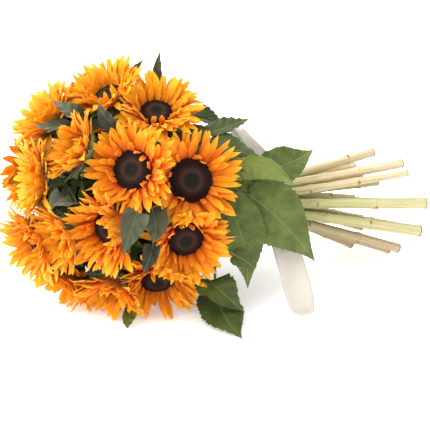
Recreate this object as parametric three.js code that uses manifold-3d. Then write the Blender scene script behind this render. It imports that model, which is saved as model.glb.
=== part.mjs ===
// A bunch of nineteen cut sunflowers, hand-tied with a ribbon and laid down on a table.
// Millimetres. +X runs from the heads along the stems to their cut ends and +Z is up. The origin is
// on the table, where the lowest head is pressed flat.
import * as THREE from "three";
import Module from "manifold-3d";

const wasm = await Module();
wasm.setup();

// The bunch: a ball of heads on stems that are held at one tie and fan out again to their cut ends.
const BALL_CENTRE = new THREE.Vector3(3, 2, 134);
const BALL_RADIUS = 128; // to the middle of each seed disc
const BUNCH_DROP = 9.7; // degrees that the bunch slopes down towards the cut ends
const TIE_DISTANCE = 190; // from the ball's centre, along the bunch
const FIT_GAP = 0.35; // between pieces that touch

// Angles in degrees. "off" is measured from the front of the ball, which points along -X, and "round" goes
// round the bunch from the near side (0) over the top (90). Each head has its place, the way it faces, the
// radius of its seed disc, the length of its petals and how far they stand up, the slot that its stem takes
// in the tie, and its cut end: round, out from the middle, length past the tie and radius. A head that looks
// aside has a stem that turns to the tie at once (bow, otherwise STEM_BOW).
const HEADS = [
  { at: [104, 66], face: [84, 60], disc: 21, petal: 37, rise: 24, slot: 13, foot: [112, 68, 164, 6.2] },
  { at: [83, 88], face: [66, 76], disc: 20, petal: 36, rise: 36, slot: 14, foot: [140, 56, 150, 5.6] },
  { at: [50, 100], face: [46, 96], disc: 21, petal: 37, rise: 38, slot: 5, foot: [120, 34, 150, 5.6] },
  { at: [57, 51], face: [34, 90], disc: 19, petal: 34, rise: 40, bow: 0.65, slot: 4,
    foot: [78, 32, 162, 5.4] },
  { at: [28, 44], face: [10, 120], disc: 20, petal: 36, rise: 38, slot: 0, foot: [200, 8, 150, 5.4] },
  { at: [82, 31], face: [56, 28], disc: 24, petal: 36, rise: 30, bow: 0.65, slot: 12,
    foot: [78, 62, 190, 6] },
  { at: [115, 22], face: [86, 20], disc: 27, petal: 38, rise: 20, slot: 11, foot: [62, 59, 192, 4.6] },
  { at: [67, 0], face: [40, 2], disc: 22, petal: 38, rise: 36, slot: 10, foot: [20, 56, 214, 7.6] },
  { at: [110, -13], face: [84, -8], disc: 23, petal: 37, rise: 20, slot: 9, foot: [-18, 60, 212, 7.8] },
  { at: [97, -43], face: [78, -28], disc: 22, petal: 38, rise: 18, slot: 8, foot: [-52, 64, 196, 6.2] },
  { at: [24, -50], face: [26, -30], disc: 21, petal: 38, rise: 36, slot: 2, foot: [-38, 36, 190, 5.6] },
  { at: [43, -10], face: [18, -50], disc: 18, petal: 34, rise: 40, bow: 0.5, slot: 3,
    foot: [22, 28, 158, 5] },
  { at: [54, -78], face: [48, -66], disc: 20, petal: 36, rise: 34, slot: 1, foot: [-100, 38, 160, 5.4] },
  { at: [74, -50], face: [60, -50], disc: 19, petal: 35, rise: 36, bow: 0.85, slot: 7,
    foot: [-82, 64.3, 200, 5.6] },
  { at: [44, 172], face: [42, 172], disc: 22, petal: 38, rise: 18, slot: 6, foot: [190, 28, 150, 5.6] },
  { at: [80, 136], face: [70, 136], disc: 22, petal: 38, rise: 18, slot: 15, foot: [172, 55, 154, 6.6] },
  { at: [70, 220], face: [64, 212], disc: 21, petal: 38, rise: 18, slot: 17, foot: [222, 58, 177, 6] },
  { at: [90, -90], face: [90, -90], out: 132, disc: 20, petal: 36, rise: 4, slot: 18,
    foot: [-110, 75.2, 160, 5.6] },
  { at: [112, 176], face: [88, 176], disc: 22, petal: 38, rise: 18, slot: 16, foot: [200, 55, 177, 6] },
];

const NEAR_HEADS = 14; // the rest are on the far side and underneath

const RAD = Math.PI / 180;
const AXIS = new THREE.Vector3(Math.cos(BUNCH_DROP * RAD), 0, -Math.sin(BUNCH_DROP * RAD));
const NEAR = new THREE.Vector3(0, -1, 0);
const HIGH = new THREE.Vector3().crossVectors(AXIS, NEAR).negate();
const TIE_CENTRE = BALL_CENTRE.clone().addScaledVector(AXIS, TIE_DISTANCE);

const vec = (x, y, z) => new THREE.Vector3(x, y, z);
const mix = (a, b, t) => a + (b - a) * t;
// A repeatable number from 0 to 1 for a seed.
const draw = (seed) => {
  const x = Math.sin(seed * 12.9898 + 4.1414) * 43758.5453;
  return x - Math.floor(x);
};
const direction = ([off, round]) => {
  const aside = Math.sin(off * RAD);
  return vec(-Math.cos(off * RAD), -aside * Math.cos(round * RAD), aside * Math.sin(round * RAD));
};
const across = (along, round, out) =>
  TIE_CENTRE.clone()
    .addScaledVector(AXIS, along)
    .addScaledVector(NEAR, out * Math.cos(round * RAD))
    .addScaledVector(HIGH, out * Math.sin(round * RAD));

// A closed surface from its points and its triangles.
function surface(points, faces) {
  const geometry = new THREE.BufferGeometry();
  const positions = points.flatMap((point) => point.toArray());
  geometry.setAttribute("position", new THREE.Float32BufferAttribute(positions, 3));
  geometry.setIndex(faces.flat());
  return geometry;
}

// Several closed surfaces fused into one.
function fused(geometries) {
  const solids = geometries.map((geometry) => {
    const vertProperties = new Float32Array(geometry.attributes.position.array);
    const triVerts = new Uint32Array(geometry.index.array);
    return new wasm.Manifold(new wasm.Mesh({ numProp: 3, vertProperties, triVerts }));
  });
  const mesh = wasm.Manifold.union(solids).getMesh();
  const geometry = new THREE.BufferGeometry();
  geometry.setAttribute("position", new THREE.Float32BufferAttribute(mesh.vertProperties, 3));
  geometry.setIndex(new THREE.BufferAttribute(new Uint32Array(mesh.triVerts), 1));
  return geometry;
}

// Leaves, each fused to the stem of the head with its number. "from" is where it leaves the stem: -1 at the
// neck, 0 at the tie and 1 at the cut end. The midrib runs through root, middle and tip, and the blade
// looks towards face. half is half of its greatest width, and fold is how far the edges stand up from the
// midrib. A leaf that comes up between the heads keeps the petals off its middle by its pocket.
const LEAVES = [
  { head: 1, from: -0.5, root: [98, -42, 211], middle: [129, -42, 218], tip: [158, -36, 223],
    face: [-0.1, -0.2, 1], half: 17, fold: 5 },
  { head: 7, from: -0.6, root: [92, -76, 200], middle: [128, -80, 198], tip: [176, -66, 164],
    face: [0.1, -0.6, 0.8], half: 29, fold: -7 },
  { head: 7, from: -0.42, root: [104, -84, 172], middle: [144, -98, 184], tip: [199, -92, 146],
    face: [0, -0.9, -0.4], half: 20, fold: 7 },
  { head: 6, from: -0.12, root: [172, -40, 156], middle: [205, -52, 164], tip: [237, -56, 180],
    face: [-0.2, -0.7, 0.6], half: 25, fold: 5 },
  { head: 7, from: -0.36, root: [106, -66, 164], middle: [140, -70, 157], tip: [178, -66, 148],
    face: [0, -0.7, 0.7], half: 19, fold: -4 },
  { head: 9, from: -0.3, root: [137, -82, 142], middle: [172, -108, 112], tip: [216, -116, 55],
    face: [-0.2, -0.85, 0.4], half: 40, fold: -7 },
  { head: 9, from: -0.45, root: [103, -90, 138], middle: [121, -110, 98], tip: [128, -112, 29],
    face: [0, -1, 0.1], half: 31, fold: 6 },
  { head: 9, from: -0.6, root: [104, -123, 83], middle: [114, -132, 78], tip: [127, -139, 67],
    face: [0, -0.8, 0.6], half: 13, fold: 3 },
  { head: 10, from: -0.55, root: [80, -104, 45], middle: [88, -126, 38], tip: [114, -140, 11],
    face: [0.1, -0.6, 0.7], half: 26, fold: 5 },
  { head: 10, from: -0.3, root: [96, -86, 20], middle: [87, -138, 13], tip: [92, -188, 2],
    face: [0, -0.2, 1], half: 28, fold: -4 },
  { head: 17, from: -0.5, root: [70, 100, 40], middle: [80, 140, 30], tip: [92, 178, 3],
    face: [0, 0.3, 1], half: 32, fold: -4 },
  { head: 19, from: -0.5, root: [110, 84, 150], middle: [140, 108, 128], tip: [166, 118, 80],
    face: [0.1, 0.9, 0.4], half: 34, fold: -6 },
  { head: 16, from: -0.45, root: [96, 60, 196], middle: [130, 78, 196], tip: [174, 80, 172],
    face: [0.1, 0.5, 0.8], half: 30, fold: 5 },
  { head: 8, from: -0.96, root: [-20, -141, 160], middle: [-30, -152, 146], tip: [-42, -152, 112],
    face: [-0.3, -0.9, 0.2], half: 15, fold: 4, pocket: 15 },
  { head: 6, from: -0.94, root: [2, -127, 156], middle: [1, -144, 142], tip: [-5, -149, 121],
    face: [-0.2, -0.9, 0.3], half: 15, fold: 3, pocket: 15 },
  { head: 9, from: -0.96, root: [2, -128, 112], middle: [-6, -140, 101], tip: [-15, -140, 80],
    face: [-0.4, -0.9, 0.1], half: 10, fold: 3, pocket: 9 },
  { head: 4, from: -0.96, root: [-45, -29, 240], middle: [-67, -33, 254], tip: [-83, -3, 263],
    face: [-0.3, -0.6, 0.7], half: 10, fold: 3, pocket: 8 },
  { head: 4, from: -0.86, root: [-62, -22, 236], middle: [-90, -35, 238], tip: [-110, -22, 239],
    face: [-0.4, -0.4, 0.8], half: 9, fold: 3, pocket: 10 },
  { head: 6, from: -0.92, root: [-16, -70, 237], middle: [-36, -77, 255], tip: [-41, -63, 273],
    face: [-0.5, -0.8, 0.3], half: 9, fold: 3, pocket: 8 },
  { head: 5, from: -0.96, root: [-80, -92, 160], middle: [-95, -101, 167], tip: [-108, -98, 164],
    face: [-0.5, -0.5, 0.7], half: 7, fold: 2, pocket: 6 },
  { head: 2, from: -0.9, root: [-3, 18, 262], middle: [21, 18, 279], tip: [38, 12, 298],
    face: [-0.2, -0.9, 0.2], half: 7, fold: 2, pocket: 5 },
  { head: 1, from: -0.88, root: [54, 12, 252], middle: [55, 11, 280], tip: [56, 4, 309],
    face: [-0.5, -0.8, 0.2], half: 7, fold: 2, pocket: 5 },
];

// Heads: where each one is, and the frame that its disc, petals and bracts are built in.
const BRACT_COUNT = 8;
const BRACT_LENGTH = 13;
const BRACT_HIGHEST = -6; // degrees from the face
const BRACT_LOWEST = -84; // with the bract bent back along the stem
const BRACT_STEP = 8;
const BRACT_SHARES = [1, 0.7, 0.4]; // of its length, tried in turn
const FACE_FORWARD = 12; // how far in front of its disc a head's middle is taken for sharing out the room
const CELL_GAP = 1.2; // from a petal to the wall between two heads
const OVERHEAD_WITHIN = 20; // a leaf nearer than this to a disc's rim hangs over the petals there
const OVERHEAD_SHARE = 0.6; // of a leaf's pocket, from the petals that it hangs over
const TABLE_GAP = 0.3;

const heads = HEADS.map((row, index) => {
  const normal = direction(row.face);
  const centre = BALL_CENTRE.clone().addScaledVector(direction(row.at), row.out ?? BALL_RADIUS);
  const side = new THREE.Vector3().crossVectors(vec(0, 0, 1), normal);
  if (side.length() < 0.1) side.set(0, 1, 0);
  side.normalize();
  const above = new THREE.Vector3().crossVectors(normal, side);
  const middle = centre.clone().addScaledVector(normal, FACE_FORWARD);
  return { ...row, index, normal, centre, side, above, middle };
});

// The walls between a head and its neighbours, each as a normal and how far a point may go along it.
function wallsOf(head) {
  const walls = heads
    .filter((other) => other !== head)
    .map((other) => {
      const normal = other.middle.clone().sub(head.middle);
      const distance = normal.length();
      normal.normalize();
      const share = (distance * head.disc) / (head.disc + other.disc);
      return { normal, limit: head.middle.dot(normal) + share - CELL_GAP };
    });
  const pockets = LEAVES.filter((leaf) => leaf.pocket).map((leaf) => {
    const middle = vec(...leaf.middle);
    const aside = middle.clone().sub(head.centre).projectOnPlane(head.normal);
    const overhead = aside.length() < head.disc + OVERHEAD_WITHIN;
    const rim = head.centre.clone().add(aside.setLength(head.disc));
    const normal = middle.clone().sub(overhead ? rim : head.middle).normalize();
    return { normal, limit: middle.dot(normal) - leaf.pocket * (overhead ? OVERHEAD_SHARE : 1) };
  });
  return [...walls, ...pockets, { normal: vec(0, 0, -1), limit: -TABLE_GAP }];
}

const inFrame = (head, round, out, up) =>
  head.centre
    .clone()
    .addScaledVector(head.side, out * Math.cos(round))
    .addScaledVector(head.above, out * Math.sin(round))
    .addScaledVector(head.normal, up);

// Petals: two whorls of pointed rays that share one thin ring round the disc.
const NEAR_PETALS = 17;
const FAR_PETALS = 15; // on the far side and underneath
const PETAL_THICKNESS = 1.3;
const PETAL_ARCH = 28; // degrees by which a petal flattens from its root to its tip
const WHORL_STEP = 13; // degrees by which the inner whorl stands above the outer one
const RING_WIDTH = 3;
const RING_TOP = -0.6;
const RING_BOTTOM = -4.2;
const ROOT_WIDTH = 0.62; // of the petal's greatest width, which is at BELLY_AT of its length
const BELLY_AT = 0.46;
const SHOULDER_AT = 0.78;
const PETAL_FOLD = 2; // how far the edges stand up from the midline
const PETAL_SPREAD = 20; // past the disc, where the petals stand edge to edge
const INNER_LENGTH = 0.93; // of the outer whorl's
const PETAL_JITTER = 0.2; // of the turn from one petal to the next
const PETAL_ROOM = 0.48; // of the way to the nearer neighbour

// A petal's width at a share s of its length, as a share of its widest.
function petalWidth(s) {
  if (s < BELLY_AT) return mix(ROOT_WIDTH, 1, Math.sin((s / BELLY_AT) * 0.5 * Math.PI));
  return Math.cos(0.5 * Math.PI * ((s - BELLY_AT) / (1 - BELLY_AT)) ** 1.4);
}

// How far a petal's midline has come out from the middle of the head at a share s of its length.
function petalReach(head, petal, s) {
  const bend = PETAL_ARCH * RAD;
  const start = petal.rise * RAD + bend / 2;
  return head.disc + RING_WIDTH + (petal.length * (Math.sin(start) - Math.sin(start - bend * s))) / bend;
}

// A point of a petal: s runs from root to tip and v from edge to edge, and lift is along the blade's normal.
function petalPoint(head, petal, s, v, lift = 0) {
  const bend = PETAL_ARCH * RAD;
  const start = petal.rise * RAD + bend / 2;
  const now = start - bend * s;
  const out = petalReach(head, petal, s);
  const up = (RING_TOP + RING_BOTTOM) / 2 + (petal.length * (Math.cos(now) - Math.cos(start))) / bend;
  const twist = petal.twist * s;
  const half = petal.half * petalWidth(s) * v;
  const fold = PETAL_FOLD * (v * v - 0.4) * Math.sin(Math.PI * Math.min(1, s * 1.2));
  const blade = fold + lift + half * Math.sin(twist);
  const flat = half * Math.cos(twist);
  const radial = out - blade * Math.sin(now);
  const height = up + blade * Math.cos(now);
  const away = vec(0, 0, 0)
    .addScaledVector(head.side, Math.cos(petal.round))
    .addScaledVector(head.above, Math.sin(petal.round));
  const along = new THREE.Vector3().crossVectors(head.normal, away);
  return head.centre
    .clone()
    .addScaledVector(away, radial)
    .addScaledVector(head.normal, height)
    .addScaledVector(along, flat);
}

// Each petal is bent up or back from the way it grows in steps of four degrees, and shortened if need be,
// until it is clear of the neighbours' walls and the table.
const RISE_STEPS = Array.from({ length: 44 }, (_, i) => (i % 2 ? 1 : -1) * Math.ceil(i / 2) * 4);
const RISE_LIMITS = [-60, 92];
const TRIES = 8; // lengths that are tried, each with its own width
const SHORTER = 0.88;
const NARROWER = 0.94;
const TESTED_AT = [0.3, 0.6, 0.85, 1];

function petalsOf(head) {
  const count = head.index < NEAR_HEADS ? NEAR_PETALS : FAR_PETALS;
  const walls = wallsOf(head);
  const seed = 100 * (head.index + 1);
  const turn = (2 * Math.PI) / count;
  const rounds = Array.from({ length: count }, (_, k) => turn * (k + PETAL_JITTER * (draw(seed + k) - 0.5)));
  return rounds.map((round, k) => {
    const inner = k % 2;
    const before = k ? round - rounds[k - 1] : round - rounds[count - 1] + 2 * Math.PI;
    const after = k + 1 < count ? rounds[k + 1] - round : rounds[0] + 2 * Math.PI - round;
    const petal = {
      round,
      length: head.petal * mix(0.92, 1.08, draw(seed + k + 31)) * (inner ? INNER_LENGTH : 1),
      half: 0.5 * turn * (head.disc + PETAL_SPREAD),
      twist: 0.5 * (draw(seed + k + 57) - 0.5),
      rise: 0,
    };
    let widest = petal.half;
    const wanted = head.rise + inner * WHORL_STEP + 6 * (draw(seed + k + 83) - 0.5);
    let best = null;
    let least = Infinity;
    for (let shrink = 0; shrink < TRIES; shrink += 1) {
      for (const step of RISE_STEPS) {
        petal.rise = wanted + step;
        if (petal.rise < RISE_LIMITS[0] || petal.rise > RISE_LIMITS[1]) continue;
        const room = PETAL_ROOM * Math.min(before, after) * petalReach(head, petal, BELLY_AT);
        petal.half = Math.min(widest, room);
        const past = TESTED_AT.flatMap((s) =>
          [-1, 0, 1].flatMap((v) => {
            const point = petalPoint(head, petal, s, v);
            return walls.map((wall) => point.dot(wall.normal) - wall.limit);
          }),
        );
        const worst = Math.max(...past);
        if (worst <= 0) return petal;
        if (worst < least) {
          least = worst;
          best = { ...petal };
        }
      }
      petal.length *= SHORTER;
      widest *= NARROWER;
    }
    return best;
  });
}

function petalRing(head, petals) {
  const points = [];
  const faces = [];
  const add = (p) => points.push(p) - 1;
  const count = petals.length;
  const turn = Math.PI / count;
  const inside = (head.disc + FIT_GAP) / Math.cos(turn);
  const corners = petals.map((petal, k) => {
    const before = petals[(k + count - 1) % count].round;
    const round = (petal.round + before - (k ? 0 : 2 * Math.PI)) / 2;
    return {
      innerTop: add(inFrame(head, round, inside, RING_TOP)),
      innerLow: add(inFrame(head, round, inside, RING_BOTTOM)),
      outerTop: add(inFrame(head, round, head.disc + RING_WIDTH, RING_TOP)),
      outerLow: add(inFrame(head, round, head.disc + RING_WIDTH, RING_BOTTOM)),
    };
  });
  petals.forEach((petal, k) => {
    const a = corners[k];
    const b = corners[(k + 1) % count];
    faces.push([a.innerTop, a.outerTop, b.outerTop], [a.innerTop, b.outerTop, b.innerTop]);
    faces.push([a.innerLow, b.outerLow, a.outerLow], [a.innerLow, b.innerLow, b.outerLow]);
    faces.push([a.innerLow, a.innerTop, b.innerTop], [a.innerLow, b.innerTop, b.innerLow]);
    let last = null;
    for (const s of [BELLY_AT, SHOULDER_AT]) {
      const thick = PETAL_THICKNESS * (s > BELLY_AT ? 0.8 : 1);
      const row = {
        right: add(petalPoint(head, petal, s, -1)),
        left: add(petalPoint(head, petal, s, 1)),
        top: add(petalPoint(head, petal, s, 0, thick / 2)),
        low: add(petalPoint(head, petal, s, 0, -thick / 2)),
      };
      if (last === null) {
        faces.push([a.outerTop, row.right, row.top], [a.outerTop, row.top, b.outerTop]);
        faces.push([b.outerTop, row.top, row.left], [b.outerTop, row.left, b.outerLow]);
        faces.push([a.outerLow, row.low, row.right], [a.outerLow, b.outerLow, row.low]);
        faces.push([b.outerLow, row.left, row.low], [a.outerTop, a.outerLow, row.right]);
      } else {
        faces.push([last.right, row.right, row.top], [last.right, row.top, last.top]);
        faces.push([last.top, row.top, row.left], [last.top, row.left, last.left]);
        faces.push([last.right, row.low, row.right], [last.right, last.low, row.low]);
        faces.push([last.low, row.left, row.low], [last.low, last.left, row.left]);
      }
      last = row;
    }
    const tip = add(petalPoint(head, petal, 1, 0));
    faces.push([last.right, tip, last.top], [last.top, tip, last.left]);
    faces.push([last.right, last.low, tip], [last.low, last.left, tip]);
  });
  return surface(points, faces);
}

// Seed disc: a low cushion with a dished middle, its florets as bumps over the whole face.
const DISC_SIDES = 12;
const DISC_DEPTH = 5;
const DISC_RINGS = [0.36, 0.74];
const DISC_BUMP = 0.8;
const DISC_EDGE = -0.4; // how far the rim lies behind the face
const discHeight = (share) => 3.4 + 2.4 * Math.sin(Math.PI * Math.min(1, share * 1.1)) - 3.4 * share ** 4;

function seedDisc(head) {
  const points = [];
  const faces = [];
  const add = (round, out, up) => {
    const p = inFrame(head, round, out, up);
    p.z = Math.max(p.z, 0);
    return points.push(p) - 1;
  };
  const ring = (share, up, bump = 0, skew = 0) =>
    Array.from({ length: DISC_SIDES }, (_, k) =>
      add(((k + skew) * 2 * Math.PI) / DISC_SIDES, head.disc * share, up + (k % 2 ? bump : -bump)));
  const rings = [
    ...DISC_RINGS.map((share, i) => ring(share, discHeight(share), DISC_BUMP, i / 2)),
    ring(1, DISC_EDGE, 0, DISC_RINGS.length / 2),
    ring(0.98, -DISC_DEPTH, 0, DISC_RINGS.length / 2),
  ];
  const middle = add(0, 0, discHeight(0));
  const back = add(0, 0, -DISC_DEPTH);
  for (let k = 0; k < DISC_SIDES; k += 1) {
    const next = (k + 1) % DISC_SIDES;
    faces.push([middle, rings[0][k], rings[0][next]]);
    for (let i = 0; i + 1 < rings.length; i += 1) {
      faces.push([rings[i][k], rings[i + 1][k], rings[i + 1][next]]);
      faces.push([rings[i][k], rings[i + 1][next], rings[i][next]]);
    }
    faces.push([back, rings[rings.length - 1][next], rings[rings.length - 1][k]]);
  }
  return surface(points, faces);
}

// Stems: from the cup behind each head, through the tie, to the cut end.
const STEM_SIDES = 8;
const NECK_RADIUS = 4.6;
const TIE_RADIUS = 6.1; // of a stem where it passes the tie
const NECK_DEPTH = 27; // from the disc's face to where the cup has become the stem
const CUP_DEPTH = 15; // to where the cup has drawn in to CUP_SHARE of the disc
const CUP_SHARE = 0.6;
const STEM_BOW = 0.75; // how long a stem runs straight back from its head, as a share of the way
const STEM_ARRIVAL = 0.9; // and straight into the tie
const RING_ONE = 12.35; // the stems stand round the middle one in rings of six and twelve
const RING_TWO = 24.15;
const OUTER_RING_START = -118;
const WAIST = 0.16; // how softly the stems turn outwards past the tie
const STEM_STATIONS = [-0.8, -0.56, -0.34, -0.12, 0.12, 1];

function slotOf(number) {
  if (number === 0) return [0, 0];
  if (number < 7) return [-127 + 60 * (number - 1), RING_ONE];
  return [OUTER_RING_START + 30 * (number - 6), RING_TWO];
}

function stemPath(head) {
  const [slotRound, slotOut] = slotOf(head.slot);
  const [footRound, footOut, length, footRadius] = head.foot;
  const neck = head.centre.clone().addScaledVector(head.normal, -NECK_DEPTH);
  const slot = across(0, slotRound, slotOut);
  const span = neck.distanceTo(slot);
  const leave = head.normal.clone().multiplyScalar(-(head.bow ?? STEM_BOW) * span);
  const arrive = AXIS.clone().multiplyScalar(STEM_ARRIVAL * span);
  const foot = across(length, footRound, footOut);
  const straight = across(length, slotRound, slotOut);
  return (t) => {
    if (t < 0) {
      const u = 1 + t;
      const centre = vec(0, 0, 0)
        .addScaledVector(neck, 2 * u ** 3 - 3 * u ** 2 + 1)
        .addScaledVector(leave, u ** 3 - 2 * u ** 2 + u)
        .addScaledVector(slot, 3 * u ** 2 - 2 * u ** 3)
        .addScaledVector(arrive, u ** 3 - u ** 2);
      return { centre, radius: mix(NECK_RADIUS, TIE_RADIUS, u) };
    }
    const open = (Math.hypot(t, WAIST) - WAIST) / (Math.hypot(1, WAIST) - WAIST);
    const centre = slot.clone().lerp(straight, t).addScaledVector(foot.clone().sub(straight), open);
    return { centre, radius: mix(TIE_RADIUS, footRadius, t) };
  };
}

const LEAF_THICKNESS = 1;
const LEAF_ROWS = [0, 0.08, 0.2, 0.34, 0.48, 0.62, 0.75, 0.88];
const LEAF_TEETH = 0.05; // of the width, out and in from row to row
const LEAF_WAVE = 1.1; // up and down at the edge, from row to row
const SMALL_ROWS = [0, 0.3, 0.7];
const LEAF_COLUMNS = [-1, 0, 1];
const LEAF_OUTLINE = [
  [0, 0.1],
  [0.12, 0.8],
  [0.3, 1],
  [0.4, 0.96],
  [0.75, 0.46],
  [1, 0],
];
const PETIOLE_RADIUS = 1.9;

// The curve from a through b, halfway, to c.
const curve = (a, b, c, t) => {
  const bend = b.clone().multiplyScalar(2).addScaledVector(a.clone().add(c), -0.5);
  return vec(0, 0, 0)
    .addScaledVector(a, (1 - t) ** 2)
    .addScaledVector(bend, 2 * t * (1 - t))
    .addScaledVector(c, t * t);
};

// A closed tube with as many sides as asked for, through the centres and radii given.
function tube(stations, sides) {
  const points = [];
  const faces = [];
  const start = stations[1].centre.clone().sub(stations[0].centre);
  const sidelong = Math.abs(start.x) < Math.abs(start.y) ? vec(1, 0, 0) : vec(0, 1, 0);
  const outward = new THREE.Vector3().crossVectors(start, sidelong);
  const rows = stations.map(({ centre, radius }, i) => {
    const ahead = stations[Math.min(i + 1, stations.length - 1)].centre;
    const tangent = ahead.clone().sub(stations[Math.max(i - 1, 0)].centre).normalize();
    outward.addScaledVector(tangent, -outward.dot(tangent)).normalize();
    const sideways = new THREE.Vector3().crossVectors(tangent, outward);
    return Array.from({ length: sides }, (_, k) => {
      const round = (2 * Math.PI * k) / sides;
      const [over, aside] = [radius * Math.cos(round), radius * Math.sin(round)];
      return points.push(centre.clone().addScaledVector(outward, over).addScaledVector(sideways, aside)) - 1;
    });
  });
  for (let k = 0; k < sides; k += 1) {
    const next = (k + 1) % sides;
    for (let i = 0; i + 1 < rows.length; i += 1) {
      faces.push([rows[i][k], rows[i][next], rows[i + 1][next]]);
      faces.push([rows[i][k], rows[i + 1][next], rows[i + 1][k]]);
    }
    if (k > 0 && k + 1 < sides) {
      faces.push([rows[0][0], rows[0][next], rows[0][k]]);
      faces.push([rows[rows.length - 1][0], rows[rows.length - 1][k], rows[rows.length - 1][next]]);
    }
  }
  return surface(points, faces);
}

function leafSurfaces(leaf, path) {
  const [root, middle, tip] = [leaf.root, leaf.middle, leaf.tip].map((p) => vec(...p));
  const points = [];
  const faces = [];
  const face = vec(...leaf.face);
  const rowsAt = leaf.pocket ? SMALL_ROWS : LEAF_ROWS;
  const place = (s, v, lift) => {
    const behind = curve(root, middle, tip, Math.max(0, s - 0.01));
    const along = curve(root, middle, tip, Math.min(1, s + 0.01)).sub(behind).normalize();
    const normal = face.clone().addScaledVector(along, -face.dot(along)).normalize();
    const side = new THREE.Vector3().crossVectors(normal, along);
    const i = Math.max(1, LEAF_OUTLINE.findIndex(([at]) => at >= s));
    const [[s0, w0], [s1, w1]] = [LEAF_OUTLINE[i - 1], LEAF_OUTLINE[i]];
    const tooth = LEAF_ROWS.indexOf(s) % 2 ? -1 : 1;
    const wide = leaf.half * mix(w0, w1, (s - s0) / (s1 - s0)) * (1 + LEAF_TEETH * tooth);
    const stand = Math.abs(v) * (leaf.fold * Math.min(1, wide / (0.5 * leaf.half)) + LEAF_WAVE * tooth);
    return curve(root, middle, tip, s).addScaledVector(side, wide * v).addScaledVector(normal, stand + lift);
  };
  const sheets = [0.5, -0.5].map((share) => {
    const add = (s, v) => points.push(place(s, v, share * LEAF_THICKNESS)) - 1;
    const rows = rowsAt.map((s) => LEAF_COLUMNS.map((v) => add(s, v)));
    rows.push([add(1, 0)]);
    return rows;
  });
  const [top, low] = sheets;
  const quad = (a, b, c, d) => faces.push([a, c, b], [a, d, c]);
  const quadBelow = (a, b, c, d) => faces.push([a, b, c], [a, c, d]); // split the same way as the one above
  const last = LEAF_COLUMNS.length - 1;
  for (let i = 0; i + 1 < top.length; i += 1) {
    const tipRow = i + 2 === top.length;
    for (let j = 0; j < last; j += 1) {
      if (tipRow) {
        faces.push([top[i][j + 1], top[i][j], top[i + 1][0]]);
        faces.push([low[i][j], low[i][j + 1], low[i + 1][0]]);
      } else {
        quad(top[i][j], top[i][j + 1], top[i + 1][j + 1], top[i + 1][j]);
        quadBelow(low[i][j], low[i][j + 1], low[i + 1][j + 1], low[i + 1][j]);
      }
    }
    const far = tipRow ? 0 : last;
    quad(low[i][0], top[i][0], top[i + 1][0], low[i + 1][0]);
    quad(top[i][last], low[i][last], low[i + 1][far], top[i + 1][far]);
  }
  for (let j = 0; j < last; j += 1) quad(top[0][j + 1], top[0][j], low[0][j], low[0][j + 1]);
  const blade = surface(points, faces);

  const start = path(leaf.from).centre;
  const end = curve(root, middle, tip, 0.12);
  const span = start.distanceTo(end);
  const leave = end.clone().sub(start).normalize().addScaledVector(AXIS, -0.3).normalize();
  const arrive = end.clone().sub(root).normalize();
  const one = start.clone().addScaledVector(leave, 0.35 * span);
  const two = end.clone().addScaledVector(arrive, -0.35 * span);
  const stations = [0, 0.33, 0.67, 1].map((t) => ({
    centre: vec(0, 0, 0)
      .addScaledVector(start, (1 - t) ** 3)
      .addScaledVector(one, 3 * t * (1 - t) ** 2)
      .addScaledVector(two, 3 * t * t * (1 - t))
      .addScaledVector(end, t ** 3),
    radius: (leaf.pocket ? 0.6 : 1) * PETIOLE_RADIUS * mix(1.25, 0.8, t),
  }));
  return [blade, tube(stations, leaf.pocket ? 4 : 5)];
}

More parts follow.
